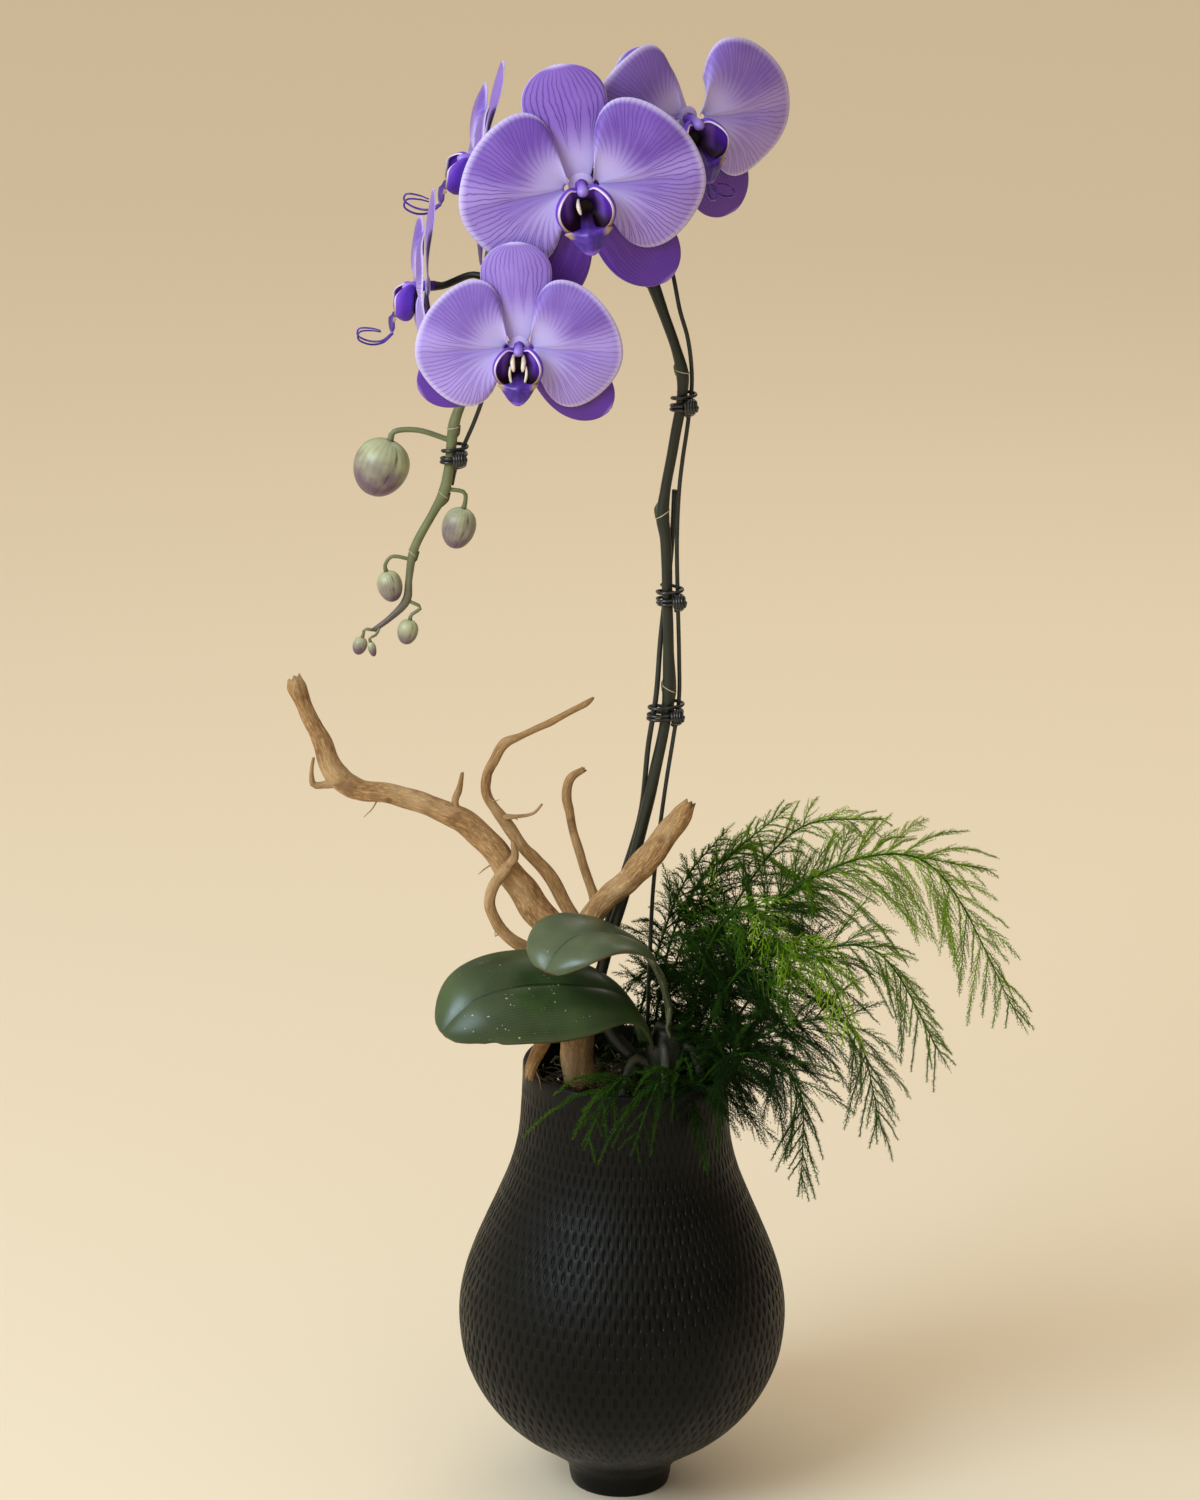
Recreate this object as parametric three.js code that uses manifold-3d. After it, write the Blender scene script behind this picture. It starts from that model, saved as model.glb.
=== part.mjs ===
// An ikebana arrangement: a moth orchid with an arching flower spike on two stakes, a forked piece of
// driftwood and drooping asparagus fern, planted together in a dark carved pear-shaped vase.
// Millimetres, +Z up. The origin is the middle of the vase's foot, and the front of the piece faces -Y.
import * as THREE from "three";
import { mergeVertices } from "three/addons/utils/BufferGeometryUtils.js";
import Module from "manifold-3d";

const wasm = await Module();
wasm.setup();

// ---------------------------------------------------------------- driving dimensions

const CLEARANCE = 0.3; // between pieces that touch

// Vase: outer profile as [radius, height], from the foot to the rim.
const VASE_PROFILE = [
  [23.6, 9], [27.5, 14], [37, 21], [48, 29], [57, 38], [64.5, 49], [70, 62], [72.2, 75], [72.4, 86],
  [70.5, 98], [67.2, 109], [62, 122], [56, 136], [50.5, 150], [47, 164], [45.6, 180], [45.1, 193],
];
const VASE_HEIGHT = 200;
const FOOT_RADIUS = 22;
const VASE_WALL = 4.6;
const VASE_RIM_WALL = 3.2;
const VASE_FLOOR = 16;
const CARVED_COLUMNS = 30; // a multiple of 3, so that the dimples close round the vase
const CARVED_ROWS = 14;
const DIMPLE_DEPTH = 0.9;

// Growing medium: bark and moss that fill the vase to just under the rim.
const MEDIUM_TOP = 187;
const MEDIUM_SEGMENTS = 15;
const BARK_HEIGHT = 2.2;

// Orchid: the short crown that carries the leaves, and the spike as [x, y, z, radius].
const CROWN = [
  [15, -13, 150, 5.5], [15, -13, 176, 8], [16, -14, 196, 9], [17, -15, 212, 8.2], [19, -16, 222, 6.2],
];
const SPIKE = [
  [16, -13, 198, 3.6], [6, -9, 203, 3.5], [-5, -4, 212, 3.2], [-11, -1, 224, 3], [-12, 0, 235, 2.8],
  [-10, 0, 246, 2.7], [-7, 0, 258, 2.6], [0, 0, 283, 2.5], [7, 0, 313, 2.5], [12, 0, 338, 2.5],
  [15.5, 0, 358, 2.4], [16.5, 0, 369, 3], [16, 0, 387, 2.3], [15, 0, 414, 2.3], [14, 0, 436, 2.3],
  [12.5, 0, 446, 2.9], [13.5, 0, 457, 2.3], [17, 0, 479, 2.2], [20, 0, 499, 2.2], [20, 0, 508, 2.8],
  [17, 0, 519, 2.2], [12, 0, 533, 2.2], [7, 0, 546, 2.7], [1, 0, 561, 2.1], [-6, 0, 578, 2.1],
  [-16, 0, 590, 2.1], [-26, 0, 597, 2.6], [-37, 0, 600, 2], [-47, 0, 596, 2.5], [-55, 0, 583, 2],
  [-60, 0, 564, 2], [-62.5, 0, 548, 2.5], [-65, 0, 517, 2.1], [-69, 0, 502, 2.1], [-73, 0, 494, 2.1],
  [-76, 0, 485, 2.5], [-78, 0, 467, 2], [-80, 0, 456, 2.4], [-85, 0, 446, 1.8], [-93, 0, 430, 2],
  [-95, 0, 417, 1.5], [-96, 0, 408, 1.9], [-103, 0, 400, 1.3], [-110, 0, 394.5, 1.1],
];

// Flowers: centre, the way each faces, its turn about that way and its upper sepal's further turn
// (degrees), the length of its upper sepal, how far its left and right lower sepals hang below the
// horizontal (degrees), its size and the point of the spike that its stalk leaves.
const FLOWERS = [
  {
    centre: [-23.2, -33, 594], facing: [0.06, -1, -0.04], turn: 9, upper: 3, upperLength: 47,
    lower: [62, 56], size: 1, root: 25.6,
  },
  {
    centre: [-48, -45, 529], facing: [-0.03, -1, -0.02], turn: 1, upper: 2, upperLength: 51,
    lower: [26, 37], size: 0.84, root: 30.4,
  },
  {
    centre: [20.6, 4, 615.5], facing: [0.5, -0.86, -0.1], turn: 5, upper: 32, upperLength: 44,
    lower: [36, 62], size: 0.95, root: 22.2,
  },
  {
    centre: [-66, 32, 592], facing: [-1, -0.06, 0.12], turn: -6, upper: 0, upperLength: 51,
    lower: [50, 50], size: 0.85, root: 28,
  },
  {
    centre: [-88.5, 2, 544], facing: [-1, -0.08, 0], turn: 2, upper: 0, upperLength: 51,
    lower: [46, 46], size: 0.8, root: 31,
  },
];
const PETAL_LENGTH = 46; // from the end of its claw
const PETAL_CLAW = 5;
const PETAL_THICKNESS = 0.9;
// The direction of a petal's furthest point and the width of its blunt end there (degrees), and the
// share of its length that it loses with each radian on from there.
const PETAL_FURTHEST = -6;
const PETAL_BLUNTNESS = 9;
const PETAL_SLOPE = 0.25;
const UPPER_SEPAL = { halfWidth: 17.5, fullest: 0.7 };
const LOWER_SEPAL = { length: 55, halfWidth: 15.5, fullest: 0.64 };
const HUB_RADIUS = 4.2;
const LIP_CUP_RADIUS = 12.4;

// Buds: centre, the point where the stalk leaves the spike, one point on the stalk's bow, the radius,
// half the length and the way that the tip points.
const BUDS = [
  { centre: [-107, 0, 466], from: 35.4, bow: [-92, 0, 482.5], radius: 11.4, half: 12.5, tip: [-0.35, 0, -1] },
  { centre: [-74, 0, 440], from: 36.9, bow: [-71.5, 0, 455.5], radius: 7, half: 9, tip: [-0.25, 0, -1] },
  { centre: [-103, 0, 414], from: 39.3, bow: [-102.5, 0, 427], radius: 5.2, half: 6.8, tip: [0.25, 0, -1] },
  { centre: [-95.5, -2, 394.5], from: 41, bow: [-90, -1, 405], radius: 4.3, half: 5.5, tip: [-0.2, 0, -1] },
  { centre: [-116, 0, 387.5], from: 43, bow: [-114, 0, 394.8], radius: 3, half: 4, tip: [-0.3, 0, -1] },
  { centre: [-110.5, -3, 387], from: 42.6, bow: [-109, -2, 393], radius: 1.7, half: 3.4, tip: [0.25, 0, -1] },
];

// Leaves: the midrib from the crown to the tip, half the width, the roll that lifts the far half
// (degrees) and how the halves curl down from a shallow crease (degrees).
const LEAVES = {
  leaf_lower: {
    midrib: [
      [10.5, -19, 214.5], [5.8, -21.6, 228], [-3, -26.5, 239.5], [-23, -36, 247], [-47.6, -46, 249.5],
      [-64, -52, 246], [-72, -54.5, 240], [-78.5, -56, 232],
    ],
    halfWidth: 27,
    roll: 36,
    crease: 14,
    curl: 62,
    fullest: 0.6,
  },
  leaf_upper: {
    midrib: [
      [18, -26.4, 222], [17, -26.5, 237], [12, -27.6, 252], [4, -31, 263], [-5, -38, 270.5],
      [-16, -47.5, 275], [-24, -55, 274.5], [-30.5, -61, 270], [-34.5, -65, 263.5],
    ],
    halfWidth: 23,
    roll: 8,
    crease: 24,
    curl: 48,
    fullest: 0.68,
  },
};
const LEAF_THICKNESS = 1.8;

// Stakes, as [x, z] where they run behind or beside the spike, and the bent one's end as [x, y, z].
const STRAIGHT_STAKE_RADIUS = 1.15;
const ARCH_STAKE_RADIUS = 0.9;
const STRAIGHT_STAKE = [
  [-9, 262], [-2, 286], [5, 312], [8, 345], [11, 367], [12.5, 390], [14.3, 409], [16, 424], [17, 440],
  [17.5, 457],
];
const ARCH_STAKE = [
  [10, 250], [11, 280], [13, 303], [16, 329], [18.5, 347], [20.8, 365], [20.6, 383], [19.6, 409], [18.8, 436],
  [19.4, 458], [20.6, 471], [22.6, 487], [24, 505], [22, 523], [18.5, 535],
];
const ARCH_STAKE_END = [
  [14.5, 6, 552], [8, 8.6, 567], [-1, 8, 583], [-11, 5, 594], [-22, 5, 600], [-35, 5, 602],
  [-45, 4.6, 595], [-50, 3.4, 581], [-54, 1.4, 563], [-57, 0.6, 545], [-59.5, 0, 517],
  [-63.5, 0.4, 498], [-67.5, 1.6, 486],
  [-72, 2.6, 475], [-75.5, 3.2, 465], [-77, 3.4, 458],
];

// Ties: black wire wound round spike and stake, at these places along the spike, ending in a ball.
const TIE_WIRE_RADIUS = 0.75;
const TIE_TURNS = 2;
const TIE_BALL_RADIUS = 3.6;
const TIES = [
  { height: 359, stakes: ["stake_arch", "stake_straight"] },
  { height: 410, stakes: ["stake_arch", "stake_straight"] },
  { height: 495, stakes: ["stake_arch"] },
  { height: 471, stakes: ["stake_arch"], onTail: true },
];

// Driftwood: each limb as [x, y, z, radius].
const DRIFTWOOD = [
  [ // the foot in the medium and the long left arm
    [-19, 5, 150, 5], [-20, 5, 185, 7], [-22, 4, 215, 7.6], [-24, 2, 244, 7.4], [-30, 0, 257, 7.2],
    [-38, 0, 267, 6.6], [-49, 0, 283, 5.8], [-60, 0, 299, 5.4], [-73, 0, 310, 5.6], [-86, 0, 316, 4.4],
    [-101, 0, 321, 4.4], [-116, 0, 323, 4.2], [-126, 0, 329, 5.2], [-132, 0, 343, 4.4], [-135, 0, 350, 3.6],
    [-140, 0, 361, 3.4], [-143, 0, 369, 4.3], [-144, 0, 372.5, 3],
  ],
  [ // the slender arm that curls back to the right
    [-24, 1, 266, 3], [-36, 2, 287, 3], [-45, 2, 296, 2.6], [-51, 2, 305, 2.8], [-58, 1, 315, 2.2],
    [-61.5, 1, 322, 2.1], [-61.5, 0, 330, 2], [-58, 0, 337, 2], [-54, 0, 344.5, 2.2], [-47, 0, 348, 1.5],
    [-37, 0, 353, 1.5], [-26, 0, 359, 1.4], [-19, 0, 363, 1.5], [-16, 0, 365.5, 0.7],
  ],
  [ // the hooked root in front
    [-33, -5, 251, 2.8], [-42, -9, 254, 2.9], [-50, -10, 259, 2.7], [-56, -10, 265.5, 2.6],
    [-59.5, -9, 274, 2.5], [-58, -9, 283, 2.4], [-53, -8, 290, 2.4], [-49, -8, 296, 1.9], [-50, -8, 303, 0.8],
  ],
  [ // the upright finger
    [-16, -7, 262, 2.8], [-14, -6, 274, 2.3], [-17, -5, 284, 2.1], [-20, -5, 294, 2], [-23.5, -5, 305, 1.8],
    [-25.5, -5, 315, 1.9], [-27, -5, 323, 2.1], [-25, -5, 331, 1.8], [-19.5, -5, 335, 1.2],
  ],
  [ // the thick broken stub on the right
    [-24, -3, 250, 5.4], [-17, -10, 268, 4.6], [-9, -12.5, 279, 4.8], [2, -13, 290, 5.2],
    [11, -12.5, 301, 5.6], [19, -12, 312, 5.2], [23, -12, 318, 4.4], [26, -12, 322.5, 2.4],
  ],
  // snags
  [[-73, 0, 309, 2.4], [-75, 0, 318, 1.5], [-73.5, 0, 323, 1.6], [-72, 0, 331, 0.8]],
  [[-125, 0, 327, 3], [-132, 0, 325, 1.6], [-136, 0, 325, 1.5], [-137, 0, 330, 1], [-136, 0, 337, 0.6]],
  [[-56, 1, 311, 1.6], [-48, -1, 312, 0.8], [-41, -2, 314, 0.7], [-37.5, -2, 318, 0.5]],
  [ // the short root that reaches down over the rim
    [-22, 2, 236, 4], [-31, -14, 223, 3.4], [-38, -20, 211, 3.2], [-41, -23, 204.5, 2.6],
    [-42, -24, 200, 1.6],
  ],
];
const DRIFTWOOD_SIDES = 7;

// Fern: each frond's foot on the medium [x, y], two points that its stem bends through, its tip, the
// way that its flat spray faces, the number of side sprays and the length of the longest.
const FRONDS = [
  {
    foot: [31, 4], via: [[62, 0, 272], [124, -5, 297]], tip: [173, -10, 222],
    face: [0.2, -0.8, 0.6], sprays: 6, reach: 42,
  },
  {
    foot: [27, 14], via: [[58, 12, 262], [104, 16, 290]], tip: [157, 16, 285],
    face: [0, -0.9, 0.6], sprays: 4, reach: 34,
  },
  {
    foot: [35, -8], via: [[64, -14, 246], [104, -24, 262]], tip: [139, -24, 209],
    face: [0.3, -0.7, 0.6], sprays: 5, reach: 36,
  },
  {
    foot: [22, 22], via: [[44, 24, 258], [76, 26, 300]], tip: [110, 20, 306],
    face: [0.1, -0.9, 0.4], sprays: 5, reach: 36,
  },
  {
    foot: [13, 14], via: [[22, 18, 240], [40, 20, 282]], tip: [70, 18, 312],
    face: [0, -1, 0.2], sprays: 5, reach: 33,
  },
  {
    foot: [2, 18], via: [[12, 24, 236], [26, 26, 276]], tip: [44, 20, 301],
    face: [0.1, -1, 0.1], sprays: 4, reach: 28,
  },
  {
    foot: [34, -17], via: [[62, -38, 228], [94, -48, 236]], tip: [111, -50, 186],
    face: [0.3, -0.8, 0.4], sprays: 5, reach: 36,
  },
  {
    foot: [29, -24], via: [[50, -48, 222], [72, -62, 216]], tip: [76, -63, 166],
    face: [0.2, -0.9, 0.2], sprays: 5, reach: 31,
  },
  {
    foot: [26, -14], via: [[50, -34, 256], [78, -62, 272]], tip: [96, -84, 243],
    face: [0.2, -0.75, 0.65], sprays: 5, reach: 36,
  },
  {
    foot: [24, -6], via: [[38, -20, 266], [54, -46, 286]], tip: [72, -74, 266],
    face: [0.1, -0.7, 0.7], sprays: 5, reach: 33,
  },
  {
    foot: [19, -31], via: [[22, -46, 212], [14, -58, 212]], tip: [3, -63, 182],
    face: [0, -1, 0.1], sprays: 5, reach: 24,
  },
  {
    foot: [4, -33], via: [[0, -46, 210], [-8, -57, 206]], tip: [-17, -63, 184],
    face: [0, -1, 0.1], sprays: 4, reach: 24,
  },
  {
    foot: [12, 30], via: [[24, 46, 252], [52, 68, 276]], tip: [88, 80, 244],
    face: [0.2, 0.4, 0.8], sprays: 6, reach: 38,
  },
];
const NEEDLE_SPACING = 13.2; // between clusters of six needles
const NEEDLE_BASE = 1.4;
const NEEDLE_LENGTH = 6.8;
const SPRAY_CORE_RADIUS = 0.75;
const FROND_STALK_RADIUS = 1.1;
const FERN_SEED = 41;

// ---------------------------------------------------------------- materials

function material(color, roughness, metalness = 0) {
  return new THREE.MeshStandardMaterial({ color, roughness, metalness });
}

const MATERIALS = {
  vase: () => material(0x1d1e20, 0.72),
  medium: () => material(0x2b2218, 0.95),
  stem: () => material(0x2f4330, 0.5),
  leaf: () => material(0x2c4f2a, 0.38),
  petal: () => material(0x9a7bd6, 0.6),
  lip: () => material(0x3b1263, 0.35),
  bud: () => material(0x6f6a72, 0.5),
  stake: () => material(0x0e110f, 0.45),
  wire: () => material(0x0b0c0d, 0.3),
  wood: () => material(0xb58a58, 0.8),
  fern: () => material(0x3f8a22, 0.6),
};

// ---------------------------------------------------------------- tools for making solids

const DEGREE = Math.PI / 180;

function vector([x, y, z]) {
  return new THREE.Vector3(x, y, z);
}

function range(count) {
  return Array.from({ length: count }, (_, index) => index);
}

function mix(a, b, t) {
  return a + (b - a) * t;
}

// Repeatable random numbers from 0 to 1.
function seededRandom(seed) {
  let state = seed >>> 0;
  return () => {
    state = (state + 0x6d2b79f5) >>> 0;
    let bits = Math.imul(state ^ (state >>> 15), state | 1);
    bits ^= bits + Math.imul(bits ^ (bits >>> 7), bits | 61);
    return ((bits ^ (bits >>> 14)) >>> 0) / 2 ** 32;
  };
}

// A closed geometry from points and triangles, turned so that its faces point out.
function closedGeometry(points, triangles) {
  const volume = triangles.reduce((sum, [a, b, c]) => {
    return sum + points[a].dot(points[b].clone().cross(points[c]));
  }, 0);
  const facingOut = volume > 0 ? triangles : triangles.map(([a, b, c]) => [a, c, b]);
  return new THREE.BufferGeometry().setFromPoints(points).setIndex(facingOut.flat());
}

function solidOf(geometry) {
  const bare = geometry.clone();
  bare.deleteAttribute("normal");
  bare.deleteAttribute("uv");
  const merged = mergeVertices(bare, 1e-4);
  return new wasm.Manifold(
    new wasm.Mesh({
      numProp: 3,
      vertProperties: merged.attributes.position.array,
      triVerts: new Uint32Array(merged.index.array),
    }),
  );
}

function geometryOf(solid) {
  const { vertProperties, triVerts } = solid.getMesh();
  return new THREE.BufferGeometry()
    .setAttribute("position", new THREE.BufferAttribute(vertProperties, 3))
    .setIndex(new THREE.BufferAttribute(triVerts, 1));
}

// Fuses geometries into one body: scraps are dropped and sealed hollows filled.
function fused(geometries) {
  const whole = geometries.map(solidOf).reduce((sum, next) => sum.add(next));
  const bodies = whole.simplify(0.01).decompose();
  return geometryOf(bodies.reduce((best, body) => (body.volume() > best.volume() ? body : best)));
}

// Triangles between two rings of as many points. A ring may be shifted by half a step.
function stitch(lower, upper, count, lowerShift, upperShift) {
  return range(count).flatMap((i) => {
    const next = (i + 1) % count;
    const [a, b, c, d] = [lower + i, lower + next, upper + i, upper + next];
    const leansBack = !lowerShift && upperShift;
    return leansBack ? [[a, b, c], [c, b, d]] : [[a, b, d], [a, d, c]];
  });
}

// A solid through rings of points, with flat ends.
function loft(rings) {
  const count = rings[0].length;
  const sides = range(rings.length - 1).flatMap((k) => stitch(k * count, (k + 1) * count, count));
  const last = (rings.length - 1) * count;
  const ends = range(count - 2).flatMap((i) => [[0, i + 2, i + 1], [last, last + i + 1, last + i + 2]]);
  return closedGeometry(rings.flat(), [...sides, ...ends]);
}

// A round limb through points [x, y, z, radius]; unevenness is a function of step and side.
function limb(knots, sides, steps, unevenness = () => 1) {
  const curve = new THREE.CatmullRomCurve3(knots.map(vector), false, "centripetal");
  const frames = curve.computeFrenetFrames(steps, false);
  return loft(range(steps + 1).map((i) => {
    const t = curve.getUtoTmapping(i / steps) * (knots.length - 1);
    const k = Math.min(Math.floor(t), knots.length - 2);
    const radius = mix(knots[k][3], knots[k + 1][3], t - k);
    const centre = curve.getPointAt(i / steps);
    return range(sides).map((side) => {
      const angle = (2 * Math.PI * side) / sides;
      const reach = radius * unevenness(i, side);
      return centre.clone()
        .addScaledVector(frames.normals[i], reach * Math.cos(angle))
        .addScaledVector(frames.binormals[i], reach * Math.sin(angle));
    });
  }));
}

// A rod of one radius, bent along points.
function rod(points, radius, sides, steps) {
  const section = new THREE.Shape(range(sides).map((side) => {
    const angle = (2 * Math.PI * side) / sides;
    return new THREE.Vector2(radius * Math.cos(angle), radius * Math.sin(angle));
  }));
  const path = new THREE.CatmullRomCurve3(points, false, "centripetal");
  return new THREE.ExtrudeGeometry(section, { steps, extrudePath: path, curveSegments: 1 });
}

// A blade of even thickness on the surface point(u, v), with u and v from 0 to 1. Both faces are
// split into triangles alike.
function blade(point, uCount, vCount, thickness) {
  const step = 0.01;
  const rows = range(uCount + 1).map((i) => range(vCount + 1).map((j) => {
    const [u, v] = [i / uCount, j / vCount];
    const alongU = point(Math.min(u + step, 1), v).sub(point(Math.max(u - step, 0), v));
    const alongV = point(u, Math.min(v + step, 1)).sub(point(u, Math.max(v - step, 0)));
    return { at: point(u, v), out: alongU.cross(alongV).normalize().multiplyScalar(thickness / 2) };
  }));
  const grid = rows.flat();
  const points = [
    ...grid.map(({ at, out }) => at.clone().add(out)),
    ...grid.map(({ at, out }) => at.clone().sub(out)),
  ];
  const index = (i, j) => i * (vCount + 1) + j;
  const faces = range(uCount).flatMap((i) => range(vCount).flatMap((j) => {
    const [a, b, c, d] = [index(i, j), index(i + 1, j), index(i + 1, j + 1), index(i, j + 1)];
    return [[a, b, c], [a, c, d]];
  }));
  const under = faces.map((face) => face.map((k) => k + grid.length).reverse());
  const border = [
    ...range(uCount).map((i) => index(i, 0)),
    ...range(vCount).map((j) => index(uCount, j)),
    ...range(uCount).map((i) => index(uCount - i, vCount)),
    ...range(vCount).map((j) => index(0, vCount - j)),
  ];
  const edge = border.flatMap((a, k) => {
    const b = border[(k + 1) % border.length];
    return [[a, a + grid.length, b], [b, a + grid.length, b + grid.length]];
  });
  return closedGeometry(points, [...faces, ...under, ...edge]);
}

// Turns every triangle the way of its neighbours.
function turnedAlike(triangles) {
  const keyOf = (a, b) => (a < b ? `${a} ${b}` : `${b} ${a}`);
  const users = new Map();
  triangles.forEach((triangle, k) => triangle.forEach((a, i) => {
    const key = keyOf(a, triangle[(i + 1) % 3]);
    users.set(key, [...(users.get(key) ?? []), k]);
  }));
  const turned = [triangles[0]];
  const waiting = [0];
  while (waiting.length) {
    const triangle = turned[waiting.pop()];
    triangle.forEach((a, i) => {
      const b = triangle[(i + 1) % 3];
      users.get(keyOf(a, b)).filter((k) => !turned[k]).forEach((k) => {
        const other = triangles[k];
        const sameWay = other.some((p, j) => p === a && other[(j + 1) % 3] === b);
        turned[k] = sameWay ? [...other].reverse() : other;
        waiting.push(k);
      });
    });
  }
  return turned;
}

// A five-sided block that blades and stalks grow from, all in one skin. Corners are angles in
// degrees, front and back are heights along z.
function makeBlock(corners, centre, radius, front, back) {
  const ring = (z) => corners.map((degrees) => new THREE.Vector3(
    centre[0] + radius * Math.cos(degrees * DEGREE), centre[1] + radius * Math.sin(degrees * DEGREE), z));
  const count = corners.length;
  const side = (k) => ({ front: [k, (k + 1) % count], back: [k + count, ((k + 1) % count) + count] });
  return {
    points: [...ring(front), ...ring(back)],
    triangles: [],
    side,
    frontFace: range(count),
    backFace: range(count).map((k) => k + count),
  };
}

function closeFace(block, corners) {
  range(corners.length - 2).forEach((i) => {
    block.triangles.push([corners[0], corners[i + 1], corners[i + 2]]);
  });
}

function closeSide(block, { front, back }) {
  closeFace(block, [front[0], front[1], back[1], back[0]]);
}

// Grows a blade on the surface point(u, v) from one side face of a block, and returns the corners
// of the small faces along its far end.
function growBlade(block, { front, back }, point, uCount, vCount, thickness) {
  const step = 0.01;
  const { points, triangles } = block;
  const upper = [front];
  const lower = [back];
  range(uCount).forEach((i) => {
    const u = (i + 1) / uCount;
    const row = range(vCount + 1).map((j) => {
      const v = j / vCount;
      const alongU = point(u, v).sub(point(u - step, v));
      const alongV = point(u, Math.min(v + step, 1)).sub(point(u, Math.max(v - step, 0)));
      const out = alongU.cross(alongV).normalize().multiplyScalar(thickness / 2);
      return [points.push(point(u, v).add(out)) - 1, points.push(point(u, v).sub(out)) - 1];
    });
    upper.push(row.map(([a]) => a));
    lower.push(row.map(([, b]) => b));
  });
  [upper, lower].forEach((rows) => {
    const [[left, right], first] = rows;
    const middle = Math.floor(vCount / 2);
    range(vCount).forEach((j) => triangles.push([j < middle ? left : right, first[j], first[j + 1]]));
    triangles.push([left, right, first[middle]]);
    range(uCount - 1).forEach((i) => range(vCount).forEach((j) => {
      const [a, b, c, d] = [rows[i + 1][j], rows[i + 2][j], rows[i + 2][j + 1], rows[i + 1][j + 1]];
      triangles.push([a, b, c], [a, c, d]);
    }));
  });
  [0, -1].forEach((end) => range(uCount).forEach((i) => {
    closeFace(block, [upper[i].at(end), upper[i + 1].at(end), lower[i + 1].at(end), lower[i].at(end)]);
  }));
  return range(vCount).map((j) => {
    return [upper[uCount][j], upper[uCount][j + 1], lower[uCount][j + 1], lower[uCount][j]];
  });
}

// Grows a stalk from a face through points [x, y, z, share of the face's size].
function growStalk(block, face, knots) {
  const { points, triangles } = block;
  const middle = face.reduce((sum, k) => sum.add(points[k]), new THREE.Vector3()).divideScalar(face.length);
  const spokes = face.map((k) => points[k].clone().sub(middle));
  const path = [middle, ...knots.map(vector)];
  const ways = range(knots.length).map((k) => path[k + 1].clone().sub(path[k]).normalize());
  const last = knots.reduce((ring, [, , , share], k) => {
    const way = ways[k].clone().add(ways[k + 1] ?? ways[k]).normalize();
    const turn = new THREE.Quaternion().setFromUnitVectors(ways[0], way);
    const next = spokes.map((spoke) => {
      const reach = spoke.clone().addScaledVector(ways[0], -spoke.dot(ways[0])).multiplyScalar(share);
      return points.push(reach.applyQuaternion(turn).add(path[k + 1])) - 1;
    });
    ring.forEach((a, i) => {
      const j = (i + 1) % ring.length;
      triangles.push([a, ring[j], next[j]], [a, next[j], next[i]]);
    });
    return next;
  }, face);
  closeFace(block, last);
}

const arrangement = new THREE.Group();

function addPiece(name, geometry, look, parent = arrangement) {
  const mesh = new THREE.Mesh(geometry, look());
  mesh.name = name;
  parent.add(mesh);
  return mesh;
}

// ---------------------------------------------------------------- vase and medium

const vaseCurve = new THREE.SplineCurve(VASE_PROFILE.map(([r, z]) => new THREE.Vector2(r, z)));

function vaseRadiusAt(height) {
  const samples = vaseCurve.getPoints(200);
  const above = samples.findIndex((p) => p.y >= height);
  return above < 0 ? samples.at(-1).x : samples[above].x;
}

function ringAt(radius, height, count, shift = 0, dimple = () => 0) {
  return range(count).map((i) => {
    const angle = (2 * Math.PI * (i + shift / 2)) / count;
    const r = radius - dimple(i);
    return new THREE.Vector3(r * Math.cos(angle), r * Math.sin(angle), height);
  });
}

// A body of revolution with carved dimples where rings are shifted: one point at each pole.
function revolved(rings) {
  const count = rings[0].points.length;
  const points = [...rings.flatMap((ring) => ring.points)];
  const bottom = points.push(new THREE.Vector3(0, 0, rings[0].points[0].z)) - 1;
  const top = points.push(new THREE.Vector3(0, 0, rings.at(-1).points[0].z)) - 1;
  const last = (rings.length - 1) * count;
  const bands = range(rings.length - 1).flatMap((k) => {
    return stitch(k * count, (k + 1) * count, count, rings[k].shift, rings[k + 1].shift);
  });
  const poles = range(count).flatMap((i) => {
    const next = (i + 1) % count;
    return [[bottom, next, i], [top, last + i, last + next]];
  });
  return closedGeometry(points, [...bands, ...poles]);
}

function makeVase() {
  const plain = (radius, height) => ({ points: ringAt(radius, height, CARVED_COLUMNS), shift: 0 });
  const carved = range(CARVED_ROWS).map((row) => {
    const at = vaseCurve.getPointAt(row / (CARVED_ROWS - 1));
    const shift = row % 2;
    const fade = Math.sqrt(Math.max(0, Math.sin((Math.PI * row) / (CARVED_ROWS - 1))));
    // One point in three sinks, so that each dimple is a hexagon with raised edges.
    const dimple = (i) => ((i + 2 * shift) % 3 === 0 ? DIMPLE_DEPTH * fade : 0);
    return { points: ringAt(at.x, at.y, CARVED_COLUMNS, shift, dimple), shift };
  });
  const innerHeights = [VASE_HEIGHT - 3, 158, 118, 82, 50];
  const inner = innerHeights.map((height, k) => {
    return plain(vaseRadiusAt(height) - (k ? VASE_WALL : VASE_RIM_WALL), height);
  });
  const rim = vaseCurve.getPointAt(1).x;
  return revolved([
    plain(FOOT_RADIUS, 0),
    plain(FOOT_RADIUS + 1, 4),
    ...carved,
    plain(rim - 0.4, VASE_HEIGHT),
    plain(rim - VASE_RIM_WALL + 0.6, VASE_HEIGHT),
    ...inner,
    plain(26, VASE_FLOOR),
  ]);
}

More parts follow.
